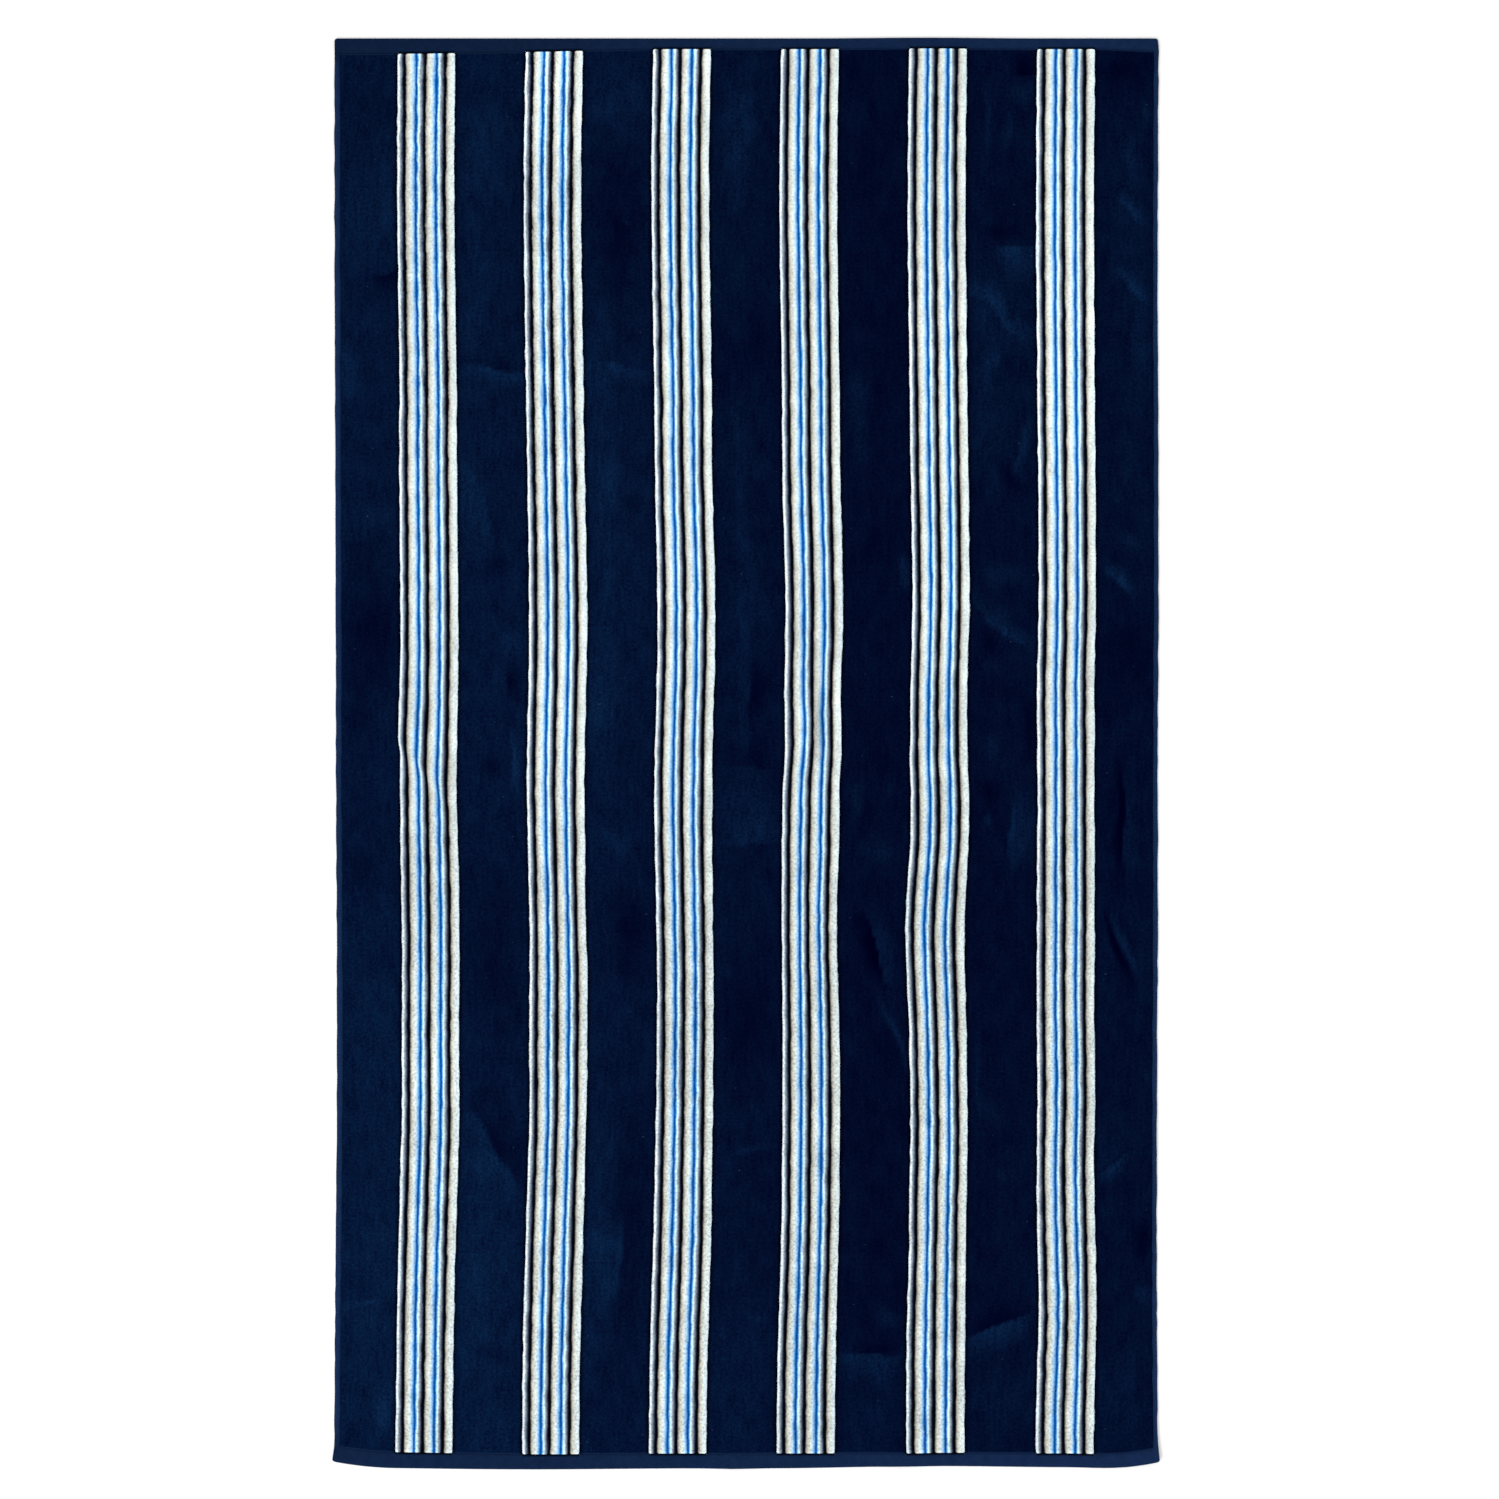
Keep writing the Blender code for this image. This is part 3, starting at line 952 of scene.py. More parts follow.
def blend(tree, factor, low, high):
    """A colour between two others."""
    inputs = {"Factor": factor, MIX_LOW: opaque(low), MIX_HIGH: opaque(high)}
    return add(tree, "ShaderNodeMix", inputs, data_type="RGBA").outputs[MIX_RESULT]


def ranged(tree, value, low, high):
    """0 at the low value and 1 at the high one, with a smooth rise between."""
    inputs = {"Value": value, "From Min": low, "From Max": high}
    return made(tree, "ShaderNodeMapRange", inputs, interpolation_type="SMOOTHSTEP")


def cells(tree, place, size):
    """Cells of about that size over the flat cloth."""
    inputs = {"Vector": place, "Scale": maths(tree, "DIVIDE", 1.0, size)}
    return add(tree, "ShaderNodeTexVoronoi", inputs, voronoi_dimensions="2D").outputs


def node_group(name, kind, inputs, outputs):
    """An empty node group with named sockets and its inputs, each (name, kind, value)."""
    tree = bpy.data.node_groups.new(name, kind)
    for label, socket_kind, value in inputs:
        socket = tree.interface.new_socket(label, in_out="INPUT", socket_type=socket_kind)
        if value is not None:
            socket.default_value = value
    for label, socket_kind in outputs:
        tree.interface.new_socket(label, in_out="OUTPUT", socket_type=socket_kind)
    return tree, tree.nodes.new("NodeGroupInput").outputs


def ended(tree, **outputs):
    """The node group with its outputs linked."""
    add(tree, "NodeGroupOutput", outputs)
    return tree


def cloth_effect(name, outputs, **sizes):
    """A node group that reads the cloth map, with a named input for each of its sizes."""
    inputs = [("Cloth", VECTOR, None), *[(label, FLOAT, size) for label, size in sizes.items()]]
    kinds = [(label, COLOUR if label == "Colour" else FLOAT) for label in outputs]
    return node_group(name, "ShaderNodeTree", inputs, kinds)


# ---------------------------------------------------------------- cloth effects


def velour_pile():
    """Cut pile: painted sheen and shade from how its nap lies and its brushing, height from its tufts."""
    tree, entry = cloth_effect("velour_pile", ("Shade", "Height"), Nap=0.0, Contrast=1.0)
    cloth = entry["Cloth"]
    tufts = noise(tree, cloth, TUFTS)
    speckle = noise(tree, cloth, SPECKLE)
    winding = maths(tree, "SUBTRACT", noise(tree, cloth, FIBRE_LINES), 0.5)
    fibres = ranged(tree, maths(tree, "ABSOLUTE", winding), *ALONG_A_FIBRE)
    patches = ranged(tree, noise(tree, cloth, FIBRE_PATCHES), *IN_FIBRE_PATCH)
    fibres = maths(tree, "MULTIPLY", fibres, patches)
    brushed = grains(tree, cloth, STREAKS, BRUSHING)
    swing = varied(tree, (tufts, TUFTS.swing), (speckle, SPECKLE.swing), *brushed)
    swing = maths(tree, "MULTIPLY_ADD", fibres, FIBRE_SHINE, swing)
    swing = maths(tree, "SUBTRACT", swing, 1.0 + FIBRE_SHARE * FIBRE_SHINE)
    swing = maths(tree, "MULTIPLY", swing, entry["Contrast"])
    lean = maths(tree, "MULTIPLY_ADD", entry["Nap"], LEVEL_NAP, LEVEL_NAP)
    shade = maths(tree, "MULTIPLY_ADD", lean, swing, lean)
    shade = made(tree, "ShaderNodeClamp", {"Value": shade})
    height = varied(tree, (tufts, TUFT_HEIGHT), (speckle, SPECKLE_HEIGHT))
    return ended(tree, Shade=shade, Height=height)


def deck_stripe():
    """The yarn colours, their greys partly painted shade, by their place across, in groups at the stripe
    pitch, with a mask for the painted shadow beside a group.
    """
    outputs = ("Colour", "Striped", "Shadow")
    tree, entry = cloth_effect("deck_stripe", outputs, Fray=FRAY, Wander=WANDER)
    fray = noise(tree, entry["Cloth"], FRAYING)
    wander = noise(tree, entry["Cloth"], STRAYING)
    strayed = varied(tree, (fray, entry["Fray"]), (wander, entry["Wander"]))
    strayed = maths(tree, "SUBTRACT", strayed, 1.0 + GROUPS_SHIFT)
    strayed = maths(tree, "ADD", one_axis(tree, entry["Cloth"], "X"), strayed)
    turns = maths(tree, "DIVIDE", strayed, PITCH)
    place = maths(tree, "MULTIPLY", maths(tree, "FLOORED_MODULO", turns, 1.0), PITCH)
    place = maths(tree, "SUBTRACT", place, (PITCH - GROUP_WIDTH) / 2)

    repeat = maths(tree, "DIVIDE", maths(tree, "SUBTRACT", place, FIRST_BLACK), REPEAT)
    repeat = maths(tree, "FLOORED_MODULO", repeat, 1.0)
    ramp_node = add(tree, "ShaderNodeValToRGB", {"Fac": repeat})
    ramp = ramp_node.color_ramp
    for shade in SHADES[1:]:
        ramp.elements.new(shade.place / REPEAT)
    for stop, shade in zip(ramp.elements, (*SHADES, SHADES[0])):
        stop.color = opaque(COTTON[shade.colour])
    starting = ranged(tree, place, OUTER_WHITE_END, OUTER_WHITE)
    ending = ranged(tree, place, LAST_IVORY, LAST_IVORY + WHITENING)
    colour = blend(tree, starting, ramp_node.outputs["Color"], COTTON["white"])
    colour = blend(tree, ending, colour, COTTON["frost"])

    middle = maths(tree, "SUBTRACT", place, GROUP_WIDTH / 2)
    outside = maths(tree, "SUBTRACT", maths(tree, "ABSOLUTE", middle), GROUP_WIDTH / 2)
    striped = ranged(tree, outside, *IN_A_STRIPE)
    shadow = ranged(tree, outside, *BESIDE_A_STRIPE)
    return ended(tree, Colour=colour, Striped=striped, Shadow=shadow)


def flat_weave():
    """Plain weave: threads over and under each other both ways, with painted shade where they dip under.
    """
    tree, entry = cloth_effect("flat_weave", ("Shade", "Height"), Pitch=0.0009)
    turns = maths(tree, "DIVIDE", 2 * math.pi, entry["Pitch"])
    across, along = (
        maths(tree, "SINE", maths(tree, "MULTIPLY", one_axis(tree, entry["Cloth"], axis), turns))
        for axis in "XY"
    )
    height = maths(tree, "MULTIPLY_ADD", maths(tree, "MULTIPLY", across, along), 0.5, 0.5)
    mottled = grains(tree, entry["Cloth"], SLUBS, WEAVE_MOTTLE)
    return ended(tree, Shade=varied(tree, (height, WEAVE_SWING), *mottled), Height=height)


def looped_pile():
    """Uncut loops of the towel's back, with painted shade between the loops."""
    tree, entry = cloth_effect("looped_pile", ("Shade", "Height"), Loop=0.0018)
    loops = cells(tree, entry["Cloth"], entry["Loop"])
    height = maths(tree, "SUBTRACT", 1.0, loops["Distance"])
    mottled = grains(tree, entry["Cloth"], LOOP_MOTTLE)
    return ended(tree, Shade=varied(tree, (height, LOOP_SWING), *mottled), Height=height)


def lint():
    """A few specks of pale fluff, kinked and longer across than along."""
    tree, entry = cloth_effect("lint", ("Speck",), Spacing=0.09, Size=0.0007)
    kinks = noise(tree, entry["Cloth"], LINT_KINKS, "Color")
    inputs = {0: kinks, 1: LINT_BEND, 2: entry["Cloth"]}
    place = made(tree, "ShaderNodeVectorMath", inputs, operation="MULTIPLY_ADD")
    specks = cells(tree, place, entry["Spacing"])
    distance = maths(tree, "MULTIPLY", specks["Distance"], entry["Spacing"])
    near = maths(tree, "LESS_THAN", distance, entry["Size"])
    chance = one_axis(tree, specks["Color"], "X")
    return ended(tree, Speck=maths(tree, "MULTIPLY", near, chance))


EFFECTS = {
    tree.name: tree for tree in (velour_pile(), deck_stripe(), flat_weave(), looped_pile(), lint())
}


# ---------------------------------------------------------------- materials


def plain(name, roughness):
    """A new material without shine, its node tree and its shader's inputs."""
    material = bpy.data.materials.new(name)
    material.use_nodes = True
    shader = material.node_tree.nodes["Principled BSDF"].inputs
    shader["Roughness"].default_value = roughness
    shader["Specular IOR Level"].default_value = 0.0
    return material, material.node_tree, shader


def cotton(name, roughness=1.0, sheen=0.02, tint=PALE_SHEEN):
    """A new cotton material, its node tree and the cloth map."""
    material, tree, shader = plain(name, roughness)
    shader["Sheen Weight"].default_value = sheen
    shader["Sheen Roughness"].default_value = 0.5
    shader["Sheen Tint"].default_value = opaque(tint)
    return material, tree, made(tree, "ShaderNodeUVMap", uv_map=CLOTH_MAP)


def effect(tree, name, **inputs):
    """Places a cloth effect in a material and returns its outputs."""
    return add(tree, "ShaderNodeGroup", inputs, node_tree=EFFECTS[name]).outputs


def mark(tree, name):
    """A value that the mesh holds for each of its points."""
    return add(tree, "ShaderNodeAttribute", attribute_name=name).outputs["Fac"]


def dyed(material, colour, height=None, relief=0.0):
    """The material in that colour, standing out by the relief where the height is 1."""
    tree = material.node_tree
    shader = tree.nodes["Principled BSDF"].inputs
    tree.links.new(colour, shader["Base Color"])
    if height is not None:
        inputs = {"Height": height, "Distance": relief, "Strength": 1.0}
        tree.links.new(made(tree, "ShaderNodeBump", inputs), shader["Normal"])
    return material


def navy_velour():
    """Navy cut pile, with painted sheen where the nap stands up, a painted highlight at the end of each
    panel and a painted shadow beside the stripes.
    """
    material, tree, cloth = cotton("navy_velour", sheen=0.015, tint=NAVY_SHEEN)
    # the nap mark paints sheen and shade on the navy
    pile = effect(tree, "velour_pile", Cloth=cloth, Nap=mark(tree, "nap"))
    colour = blend(tree, pile["Shade"], NAVY_NAP_IN_SHADE, NAVY_NAP_IN_SHEEN)
    # painted highlight where the rounded end of the pile catches the light, in the hem's colour
    lit_pile_end = ranged(tree, mark(tree, "to_end"), *LIT_NAVY_PILE_END)
    colour = blend(tree, lit_pile_end, colour, NAVY_WEAVE)
    colour = blend(tree, effect(tree, "lint", Cloth=cloth)["Speck"], colour, LINT)
    stripe = effect(tree, "deck_stripe", Cloth=cloth)
    shadow = maths(tree, "MULTIPLY_ADD", stripe["Shadow"], -SEAM_SHADOW, 1.0)
    colour = blend(tree, stripe["Striped"], tinted(tree, colour, shadow), stripe["Colour"])
    return dyed(material, colour, pile["Height"], relief=0.0006)


def striped_velour():
    """Cut pile in the stripe colours, frayed into the navy at a group's two edges, with painted sheen
    from its nap, painted shine at its ends, and painted shade and highlights on its clumps.
    """
    material, tree, cloth = cotton("striped_velour", tint=STRIPE_SHEEN)
    along = one_axis(tree, cloth, "Y")
    to_left = ranged(tree, one_axis(tree, cloth, "X"), *RAGGED_ACROSS)
    ragged = maths(tree, "MULTIPLY", ranged(tree, along, *RAGGED_ALONG), to_left)
    fray = maths(tree, "MULTIPLY_ADD", ragged, EXTRA_FRAY, FRAY)
    wander = maths(tree, "MULTIPLY_ADD", ragged, EXTRA_WANDER, WANDER)
    stripe = effect(tree, "deck_stripe", Cloth=cloth, Fray=fray, Wander=wander)

    # the nap mark sets the stripes' painted sheen and shade
    nap = mark(tree, "nap")
    pile = effect(tree, "velour_pile", Cloth=cloth, Nap=nap, Contrast=STRIPE_CONTRAST)
    # painted shine on the last tufts before the hem
    last_tufts = ranged(tree, mark(tree, "to_end"), *LAST_STRIPE_TUFTS)
    shade = maths(tree, "MULTIPLY_ADD", last_tufts, END_SHINE, STRIPE_DARKEST)
    shade = maths(tree, "MULTIPLY_ADD", pile["Shade"], STRIPE_GAIN, shade)
    # painted shade in the pits between clumps and painted highlights on their tips, stronger towards the
    # near end
    clumping = maths(tree, "MULTIPLY_ADD", ranged(tree, along, *CLUMPING_ALONG), EXTRA_CLUMPING, LEAST_CLUMPING)
    clumps = noise(tree, cloth, CLUMPS)
    for mask, lighter in ((IN_A_PIT, -PIT_SHADE), (ON_A_TIP, TIP_SHINE)):
        clump = maths(tree, "MULTIPLY", ranged(tree, clumps, *mask), clumping)
        shade = maths(tree, "MULTIPLY_ADD", clump, lighter, shade)
    colour = tinted(tree, stripe["Colour"], shade)
    yellowed = ranged(tree, noise(tree, cloth, YELLOWING), *YELLOWED)
    colour = blend(tree, yellowed, colour, scaled(tree, colour, WARMED))
    colour = blend(tree, stripe["Striped"], COTTON["navy"], colour)
    return dyed(material, colour, pile["Height"], relief=0.0005)


def hem_weave():
    """Flat-woven navy cotton of the hems and the ground, with a painted shadow on the hem at each
    stripe's end.
    """
    material, tree, cloth = cotton("hem_weave", roughness=0.9)
    weave = effect(tree, "flat_weave", Cloth=cloth)
    near_pile = ranged(tree, mark(tree, "to_pile"), *UNDER_STRIPE_ENDS)
    shadow = maths(tree, "MULTIPLY", near_pile, effect(tree, "deck_stripe", Cloth=cloth)["Striped"])
    shadow = maths(tree, "MULTIPLY_ADD", shadow, -END_SHADOW, 1.0)
    shade = maths(tree, "MULTIPLY", weave["Shade"], mark(tree, "tone"))
    shade = maths(tree, "MULTIPLY", shade, shadow)
    return dyed(material, tinted(tree, NAVY_WEAVE, shade), weave["Height"], relief=0.0002)


def looped_back():
    """The back: loops in the same yarns as the face."""
    material, tree, cloth = cotton("looped_back")
    loops = effect(tree, "looped_pile", Cloth=cloth)
    stripe = effect(tree, "deck_stripe", Cloth=cloth, Fray=BACK_FRAY)
    colour = blend(tree, stripe["Striped"], NAVY_LOOPS, stripe["Colour"])
    return dyed(material, tinted(tree, colour, loops["Shade"]), loops["Height"], relief=0.0008)


def sewing_thread():
    """Navy thread, twisted, a little lighter than the hem."""
    material, tree, _ = cotton("sewing_thread", roughness=0.7, sheen=0.05)
    place = add(tree, "ShaderNodeTexCoord").outputs["Object"]
    inputs = {"Vector": place, "Scale": THREAD_TWISTS, "Distortion": 1.0}
    twist = add(tree, "ShaderNodeTexWave", inputs, bands_direction="DIAGONAL").outputs["Fac"]
    return dyed(material, tinted(tree, NAVY_THREAD, varied(tree, (twist, TWIST_SWING))))


def stray_pile(name, colour=None):
    """Tufts that stand out at an edge of the pile, in that colour or in the stripe's."""
    material, tree, cloth = cotton(name)
    shade = varied(tree, *grains(tree, cloth, STRAY_FLECKS))
    colour = colour or effect(tree, "deck_stripe", Cloth=cloth)["Colour"]
    return dyed(material, tinted(tree, colour, shade))


def studio_floor():
    material, _, shader = plain("studio_floor", roughness=1.0)
    shader["Base Color"].default_value = opaque(PALE_FLOOR)
    return material


# ---------------------------------------------------------------- the towel's pieces


def sheet_grid():
    """Cloth places of the whole sheet's grid, with close lines along its edges and seams."""

    def lines(hem):
        return np.array([0 * hem + place for place in EDGE_LINES] + [hem - place for place in SEAM_LINES])

    left = -WIDTH / 2 + lines(SIDE_HEMS[-1])
    right = WIDTH / 2 - lines(SIDE_HEMS[1])[::-1]
    middle = np.linspace(left[-1], right[0], round(WIDTH / SHEET_CELL))[1:-1]
    columns = np.concatenate([left, middle, right])
    near = -LENGTH / 2 + lines(hem_width(-1, columns))
    far = LENGTH / 2 - lines(hem_width(1, columns))[::-1]
    middle = np.linspace(near[-1], far[0], round(LENGTH / SHEET_CELL))[1:-1]
    along = np.concatenate([near, middle, far])
    return np.broadcast_to(columns, along.shape).copy(), along


def edge_distances(across, along):
    """Distance to the nearer side and to the nearer end, each with the width of its hem."""
    side_hem = np.where(across < 0, SIDE_HEMS[-1], SIDE_HEMS[1])
    end_hem = np.where(along < 0, hem_width(-1, across), hem_width(1, across))
    return WIDTH / 2 - np.abs(across), side_hem, LENGTH / 2 - np.abs(along), end_hem


def sheet_lifts(across, along):
    """Heights of the sheet's top and of its bottom above the cloth's underside."""
    to_side, side_hem, to_end, end_hem = edge_distances(across, along)
    side = eased((side_hem - to_side) / HEM_STEP)
    end = eased((end_hem - to_end) / HEM_STEP)
    top = GROUND_TOP + (HEM_TOP - GROUND_TOP) * np.maximum(side, end) + HEM_LAP * side * end
    side_seam = hump(to_side - side_hem + STITCH_INSET, FACE_SEAM) * (1 - end)
    end_seam = hump(to_end - end_hem + STITCH_INSET, FACE_SEAM)
    top = top - STITCH_SINK * np.maximum(side_seam, end_seam)
    middle = HEM_TOP / 2
    from_edge = np.clip(np.minimum(to_side, to_end) / middle, 0, 1)
    rounded = np.sqrt(1 - (1 - from_edge) ** 2)
    seam_below = np.maximum(hump(to_side - side_hem, BACK_SEAM), hump(to_end - end_hem, BACK_SEAM))
    bottom = middle * (1 - rounded) + BACK_SEAM_RISE * seam_below * rounded
    return middle + (top - middle) * rounded, bottom


def rounded_corners(across, along):
    """Cloth places with the four corners of the rectangle rounded."""
    right = np.clip((np.abs(across) - WIDTH / 2 + CORNER_ROUND) / CORNER_ROUND, 0, 1)
    up = np.clip((np.abs(along) - LENGTH / 2 + CORNER_ROUND) / CORNER_ROUND, 0, 1)
    inset_across = right * (1 - np.sqrt(1 - up**2 / 2)) * CORNER_ROUND
    inset_along = up * (1 - np.sqrt(1 - right**2 / 2)) * CORNER_ROUND
    return across - np.sign(across) * inset_across, along - np.sign(along) * inset_along


def ground_and_hems():
    """The whole cloth below the pile: ground, turned hems and looped back, as one sheet."""
    across, along = sheet_grid()
    top_lift, bottom_lift = sheet_lifts(across, along)
    rounded = rounded_corners(across, along)
    inner = (slice(1, -1), slice(1, -1))
    top_numbers = np.arange(across.size).reshape(across.shape)
    bottom_numbers = top_numbers.copy()
    bottom_numbers[inner] = part_numbers(across, inner)
    top = lay(*rounded, top_lift).reshape(-1, 3)
    bottom = lay(rounded[0][inner], rounded[1][inner], bottom_lift[inner]).reshape(-1, 3)
    places = with_part(np.stack([across, along], axis=-1), inner)
    faces = np.concatenate([grid_faces(top_numbers), grid_faces(bottom_numbers)[:, ::-1]])
    below = np.arange(len(faces)) >= len(faces) // 2

    share = places / (WIDTH, LENGTH) + 0.5
    bake = share[faces] * (HALF_STRIP, INSIDE) + MARGIN
    bake[below] += (0.5, 0.0)
    _, _, to_end, end_hem = edge_distances(*places.T)
    marks = {"tone": hem_tone(*places.T), "to_pile": np.abs(end_hem - to_end)}
    shape = Shape(np.concatenate([top, bottom]), faces.tolist(), places, bake, marks)
    sheet = piece("hemmed_ground", shape, [hem_weave(), looped_back()])

    to_side, side_hem, to_end, end_hem = edge_distances(*places[faces].mean(axis=1).T)
    looped = below & (to_side > side_hem) & (to_end > end_hem)
    sheet.data.polygons.foreach_set("material_index", looped.astype(np.int32))
    return sheet


def pile_rows(columns, row, recess=0.0):
    """Grid of cloth places between the end hems, with rows close together at both ends.

    The recess is how far each column ends before the hem."""
    near, far = seam(-1, columns, -recess), seam(1, columns, -recess)
    middle = np.linspace(END_LINES[-1], LENGTH, round(LENGTH / row))[1:-1]
    steps = np.concatenate([END_LINES, middle, LENGTH - END_LINES[::-1]]) / LENGTH
    steps = steps[:, None]
    return np.broadcast_to(columns, (len(steps), len(columns))).copy(), near + (far - near) * steps


def pile_lift(across, along, first, last, relief):
    """Height of the pile's top: full inside, rounded down at the slab's edges."""
    near, far = along.min(axis=0), along.max(axis=0)
    inset = np.minimum(np.minimum(across - first, last - across), np.minimum(along - near, far - along))
    shoulder = np.sqrt(1 - (1 - np.clip(inset / SHOULDER, 0, 1)) ** 2)
    full = PILE_TOP + relief + drifting(across, along, HEIGHT_DRIFT)
    edge = PILE_FOOT + EDGE_SHARE * (PILE_TOP - PILE_FOOT)
    return edge + (full - edge) * shoulder


def group_sides(index):
    """First and last place across of a group of coloured yarns."""
    middle = (index - (GROUPS - 1) / 2) * PITCH + GROUPS_SHIFT
    return middle - GROUP_WIDTH / 2, middle + GROUP_WIDTH / 2


def panel_sides():
    """First and last place across of each navy panel."""
    edges = [-WIDTH / 2 + SIDE_HEMS[-1]]
    for index in range(GROUPS):
        edges += group_sides(index)
    edges.append(WIDTH / 2 - SIDE_HEMS[1])
    return [(first + SLAB_GAP / 2, last - SLAB_GAP / 2) for first, last in zip(edges[::2], edges[1::2])]


def navy_pile():
    """The navy panels."""
    slabs = []
    for first, last in panel_sides():
        start, end = first + SIDE_LINES[-1], last - SIDE_LINES[-1]
        middle = np.linspace(start, end, round((last - first) / PILE_CELL) + 1)
        columns = np.concatenate([first + SIDE_LINES[:-1], middle, last - SIDE_LINES[-2::-1]])
        across, along = pile_rows(columns, PILE_CELL)
        relief = NAP_RISE * np.clip(nap_lean_and_sheen(across, along), -1, 1)
        slabs.append(slab(across, along, pile_lift(across, along, first, last, relief), nap_lean_and_sheen))
    return piece("pile_navy", together(slabs), [navy_velour()])


def yarn_columns(first):
    """Places across a group of yarns, their relief with grooves at the black yarns, and how
    far each ends before the hem, which rounds the ends of the white bands."""
    cells_across = round(GROUP_WIDTH / YARN_CELL)
    inner = np.linspace(SIDE_LINES[-1], GROUP_WIDTH - SIDE_LINES[-1], cells_across + 1)[1:-1]
    places = np.concatenate([SIDE_LINES, inner, GROUP_WIDTH - SIDE_LINES[::-1]])
    from_black = (places - FIRST_BLACK - BLACK_MIDDLE + REPEAT / 2) % REPEAT - REPEAT / 2
    to_side = np.minimum(places, GROUP_WIDTH - places)
    relief = YARN_RISE - GROOVE_DEPTH * hump(from_black, GROOVE_WIDTH)
    notch = np.maximum(hump(from_black, BLACK_NOTCH), fade(to_side, SIDE_NOTCH))
    return first + places, relief, YARN_NOTCH * notch


def striped_pile(index, material):
    """One group of coloured yarns."""
    first, last = group_sides(index)
    columns, relief, notch = yarn_columns(first)
    across, along = pile_rows(columns, YARN_ROW, notch)
    lift = pile_lift(across, along, first, last, relief)
    return piece(f"pile_stripes_{index + 1}", slab(across, along, lift, stripe_sheen_and_shade), [material])


# ---------------------------------------------------------------- stitches and stray tufts


def side_path(across, lift):
    """A path along the whole pile at a place across."""
    return (across, seam(-1, across)), (across, seam(1, across)), lift


def end_paths(end, places, inset, lift):
    """Paths from each place across to the next, along the seam of an end's hem."""
    line = list(zip(places, seam(end, places, inset)))
    return [(start, stop, lift) for start, stop in zip(line, line[1:])]


def path_object(name, paths):
    """Open polylines through cloth places, as edges only, that know those places."""
    points, edges, places = [], [], []
    for start, end, lift in paths:
        start, end = np.array(start), np.array(end)
        count = max(2, round(np.abs(end - start).max() / PATH_STEP))
        line = start + (end - start) * np.linspace(0, 1, count)[:, None]
        edges += [(len(places) + i, len(places) + i + 1) for i in range(count - 1)]
        points += lay(line[:, 0], line[:, 1], lift).tolist()
        places += line.tolist()
    mesh = bpy.data.meshes.new(name)
    mesh.from_pydata(points, edges, [])
    cloth = np.column_stack([places, np.zeros(len(places))])
    mesh.attributes.new("place", "FLOAT_VECTOR", "POINT").data.foreach_set("vector", cloth.ravel())
    return in_scene(name, mesh)


def run_tree(obj, tree, **inputs):
    """Runs a geometry tree on an object, leaving a plain mesh."""
    modifier = obj.modifiers.new(tree.name, "NODES")
    modifier.node_group = tree
    names = {s.name: s.identifier for s in tree.interface.items_tree if s.in_out == "INPUT"}
    for name, value in inputs.items():
        modifier[names[name]] = value
    depsgraph = bpy.context.evaluated_depsgraph_get()
    mesh = bpy.data.meshes.new_from_object(obj.evaluated_get(depsgraph))
    obj.modifiers.remove(modifier)
    obj.data = mesh


def path_tree(name, *sizes):
    """An empty geometry tree that takes paths, sizes and a material."""
    inputs = [("Paths", GEOMETRY, None), *sizes, ("Cotton", MATERIAL, None)]
    return node_group(name, "GeometryNodeTree", inputs, [("Pieces", GEOMETRY)])


def stepped(tree, paths, step):
    """Points at even steps along the paths."""
    curve = made(tree, "GeometryNodeMeshToCurve", {"Mesh": paths})
    return made(tree, "GeometryNodeResampleCurve", {"Curve": curve, "Length": step}, mode="LENGTH")


def copied(tree, points, thing, turn, size, material):
    """A real copy of the thing at each point, in that material."""
    inputs = {"Points": points, "Instance": thing, "Rotation": turn, "Scale": size}
    placed = made(tree, "GeometryNodeInstanceOnPoints", inputs)
    real = made(tree, "GeometryNodeRealizeInstances", {"Geometry": placed})
    return made(tree, "GeometryNodeSetMaterial", {"Geometry": real, "Material": material})


def stitch_tree():
    """Stitches laid end to end along the paths."""
    tree, entry = path_tree(
        "hem_stitching",
        ("Pitch", FLOAT, STITCH_PITCH),
        ("Length", FLOAT, STITCH_LENGTH),
        ("Thickness", FLOAT, THREAD),
    )
    points = stepped(tree, entry["Paths"], entry["Pitch"])
    bead = made(tree, "GeometryNodeMeshUVSphere", {"Segments": 6, "Rings": 4, "Radius": 0.5})
    tangent = made(tree, "GeometryNodeInputTangent")
    facing = made(tree, "FunctionNodeAlignRotationToVector", {"Vector": tangent}, axis="X")
    sizes = {"X": entry["Length"], "Y": entry["Thickness"], "Z": entry["Thickness"]}
    size = made(tree, "ShaderNodeCombineXYZ", sizes)
    stitches = copied(tree, points, bead, facing, size, entry["Cotton"])
    return ended(tree, Pieces=stitches)


def hem_stitches():
    """Lockstitch along the inner edge of every hem, on the face and on the back."""
    ends = np.linspace(-WIDTH / 2 + SEAM_START, WIDTH / 2 - SEAM_START, SEAM_POINTS)
    paths = []
    for lift in (HEM_TOP - STITCH_SINK + STITCH_RISE, STITCH_RISE):
        for end in (-1, 1):
            paths += end_paths(end, ends, STITCH_INSET, lift)
        for side in (-1, 1):
            paths.append(side_path(side * (WIDTH / 2 - SIDE_HEMS[side] + STITCH_INSET), lift))
    stitches = path_object("hem_stitches", paths)
    run_tree(stitches, stitch_tree(), Cotton=sewing_thread())
    return stitches


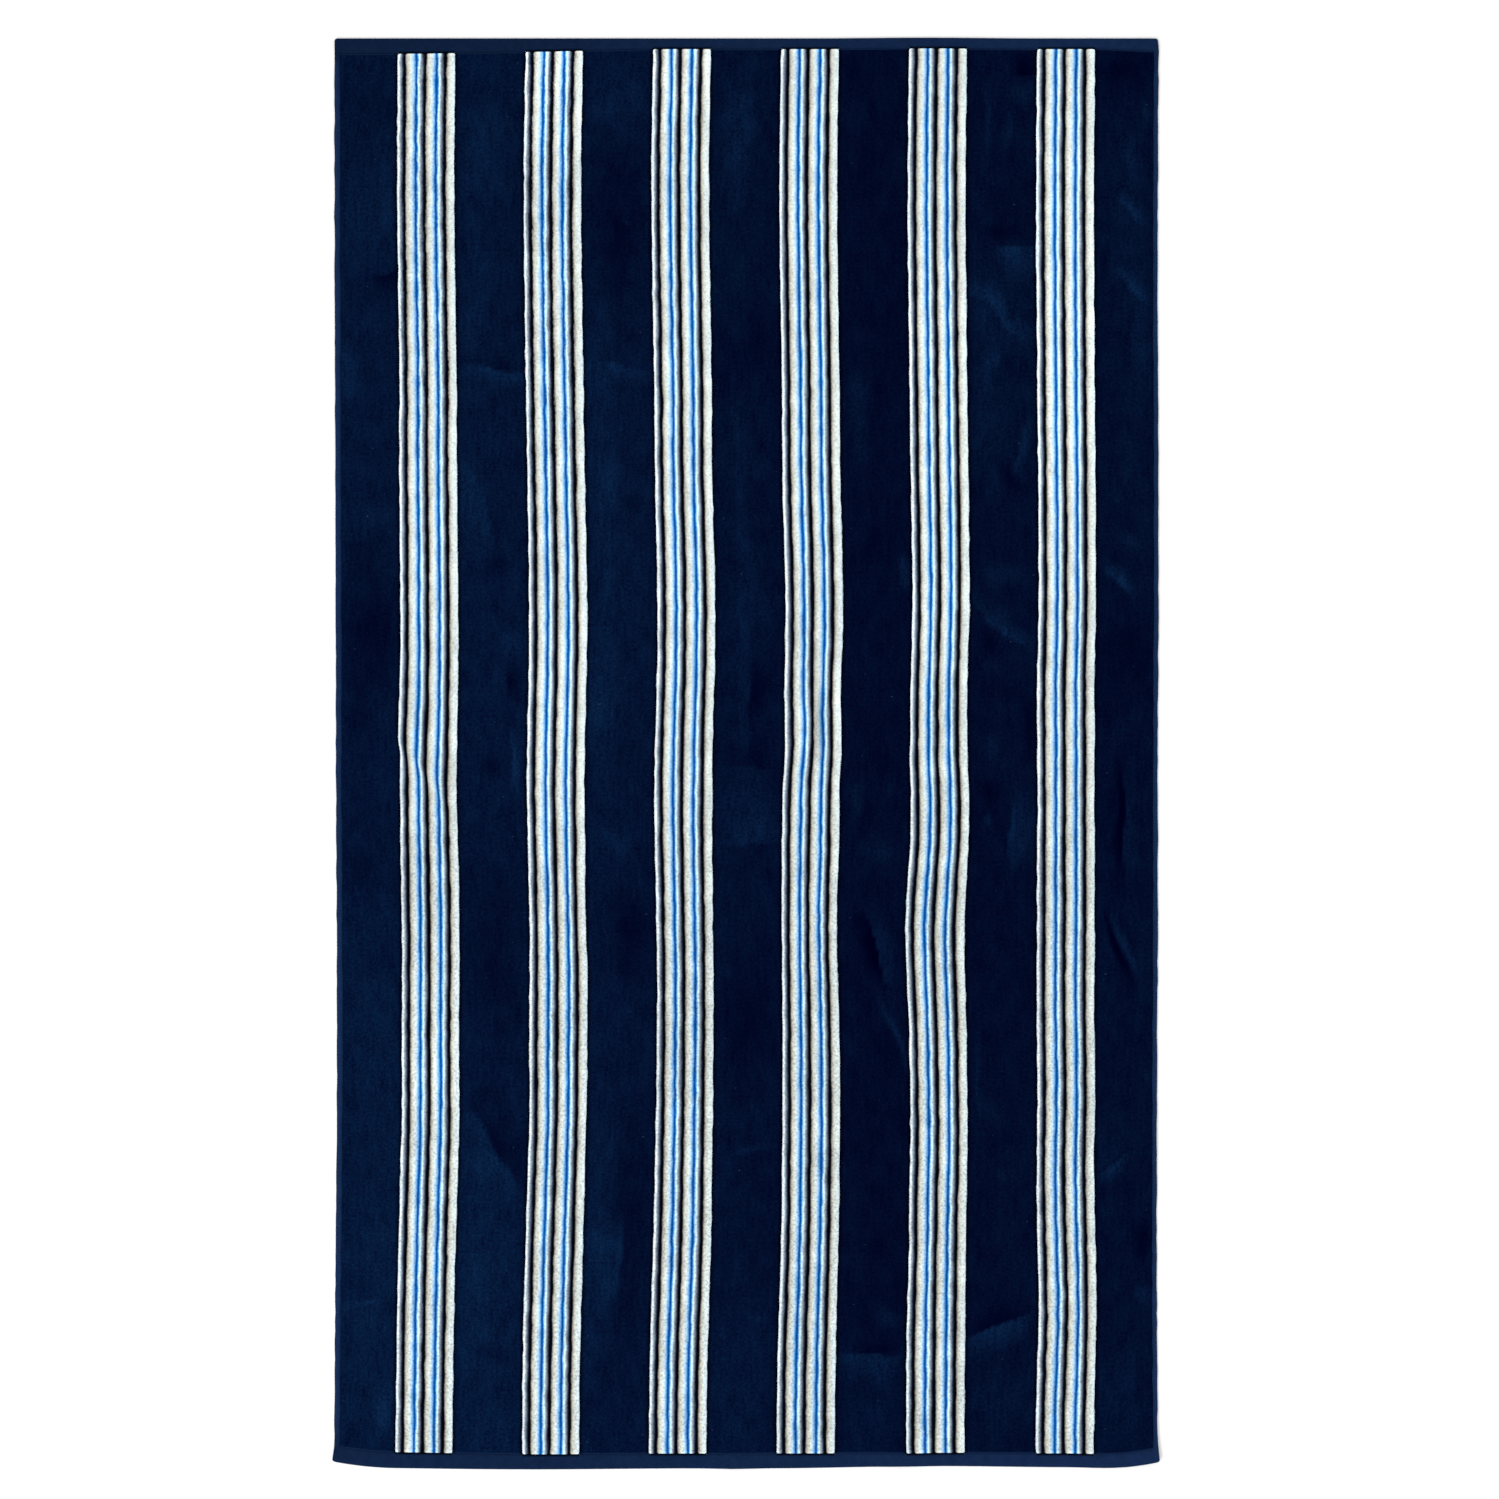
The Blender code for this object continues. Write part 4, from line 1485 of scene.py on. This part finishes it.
def tuft_tree():
    """Small cones that lean every way, scattered along the paths."""
    tree, entry = path_tree(
        "stray_tufts",
        ("Spacing", FLOAT, TUFT_SPACING),
        ("Thickness", FLOAT, TUFT_THICKNESS),
        ("Length", FLOAT, TUFT_LENGTH),
        ("Scatter", FLOAT, TUFT_SCATTER),
        ("Seed", WHOLE, 0),
    )

    def random(low, high):
        inputs = {0: low, 1: high, "Seed": entry["Seed"]}
        return made(tree, "FunctionNodeRandomValue", inputs, data_type="FLOAT_VECTOR")

    scatter = random((-1.0, -1.0, -SCATTER_UP), (1.0, 1.0, SCATTER_UP))
    offset = tinted(tree, scatter, entry["Scatter"])
    points = stepped(tree, entry["Paths"], entry["Spacing"])
    points = made(tree, "GeometryNodeSetPosition", {"Geometry": points, "Offset": offset})
    radius = maths(tree, "MULTIPLY", entry["Thickness"], 0.5)
    sizes = {"Vertices": 3, "Radius Top": 0.0, "Radius Bottom": radius, "Depth": entry["Length"]}
    cone = made(tree, "GeometryNodeMeshCone", sizes)
    lean = random((-TUFT_LEAN, -TUFT_LEAN, 0.0), (TUFT_LEAN, TUFT_LEAN, 2 * math.pi))
    turn = made(tree, "FunctionNodeEulerToRotation", {"Euler": lean})
    size = random(LEAST_TUFT, LARGEST_TUFT)
    return ended(tree, Pieces=copied(tree, points, cone, turn, size, entry["Cotton"]))


def stray_tufts(name, sides, ends, material, tree, seed):
    """Tufts along the sides and the ends of the slabs of pile that are given."""
    lift = PILE_TOP - TUFT_SINK
    paths = []
    for first, last in sides:
        paths += [side_path(across, lift) for across in (first + TUFT_INSET, last - TUFT_INSET)]
    for first, last in ends:
        for end in (-1, 1):
            paths += end_paths(end, np.linspace(first, last, TUFT_POINTS), -TUFT_INSET, lift)
    tufts = path_object(name, paths)
    run_tree(tufts, tree, Cotton=material, Seed=seed)
    map_tufts(tufts.data)
    return tufts


def map_tufts(mesh):
    """Gives tufts the cloth map of their roots and a bake map a few pixels wide each."""
    places = np.empty(3 * len(mesh.vertices))
    mesh.attributes["place"].data.foreach_get("vector", places)
    places = places.reshape(-1, 3)[:, :2]
    corners = corners_of(mesh)
    spread = TUFT_PATCH * np.array([(0, 0), (1, 0), (0, 1), (1, 1)])
    share = (places / (WIDTH, LENGTH) + 0.5) * TUFT_INSIDE + TUFT_MARGIN
    set_maps(mesh, places[corners], share[corners] + spread[corners % len(spread)])
    mesh.attributes.remove(mesh.attributes["place"])


# ---------------------------------------------------------------- studio


def floor():
    mesh = bpy.data.meshes.new("floor")
    sides = ((-1, -1), (1, -1), (1, 1), (-1, 1))
    corners = [(FLOOR_REACH * x, FLOOR_REACH * y, -FLOOR_DROP) for x, y in sides]
    mesh.from_pydata(corners, [], [(0, 1, 2, 3)])
    mesh.materials.append(studio_floor())
    in_scene("floor", mesh)


def soft_light(name, place, size, power):
    """A square light that faces the towel."""
    light = bpy.data.lights.new(name, "AREA")
    light.shape = "SQUARE"
    light.size = size
    light.energy = power
    obj = in_scene(name, light)
    obj.location = place
    obj.rotation_euler = (-Vector(place)).to_track_quat("-Z", "Y").to_euler()


def white_surroundings():
    world = bpy.data.worlds.new("white_studio")
    world.use_nodes = True
    background = world.node_tree.nodes["Background"]
    background.inputs["Color"].default_value = (1.0, 1.0, 1.0, 1.0)
    background.inputs["Strength"].default_value = 1.0
    bpy.context.scene.world = world


def overhead_camera():
    """Straight down from a height, with the towel a little off the middle of the frame."""
    frame_width = PHOTO_PIXELS * MM_A_PIXEL / 1000  # the photograph's width at the towel
    camera = bpy.data.cameras.new("overhead")
    camera.lens = LENS
    camera.sensor_width = SENSOR
    obj = in_scene("overhead", camera)
    obj.location = (*CAMERA_PLACE, frame_width * LENS / SENSOR + PILE_TOP)
    bpy.context.scene.camera = obj


def studio():
    bpy.context.scene.view_settings.view_transform = "Standard"
    white_surroundings()
    floor()
    soft_light("key", place=(-2.2, -2.4, 3.2), size=2.0, power=75.0)
    overhead_camera()


# ---------------------------------------------------------------- putting it together


def make_towel():
    stripes = striped_velour()
    groups = [striped_pile(index, stripes) for index in range(GROUPS)]
    added = [navy_pile(), *groups, hem_stitches()]
    panels = panel_sides()
    outer = [(panels[0][0], panels[-1][1])]
    navy, striped = stray_pile("stray_navy", COTTON["navy"]), stray_pile("stray_striped")
    tree = tuft_tree()
    added.append(stray_tufts("tufts_navy", outer, panels, navy, tree, seed=3))
    stripe_sides = [group_sides(index) for index in range(GROUPS)]
    added.append(stray_tufts("tufts_striped", stripe_sides, [], striped, tree, seed=4))
    sheet = ground_and_hems()
    for part in (sheet, *added):
        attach(part, "root")
        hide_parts(NODE)


studio()
make_towel()
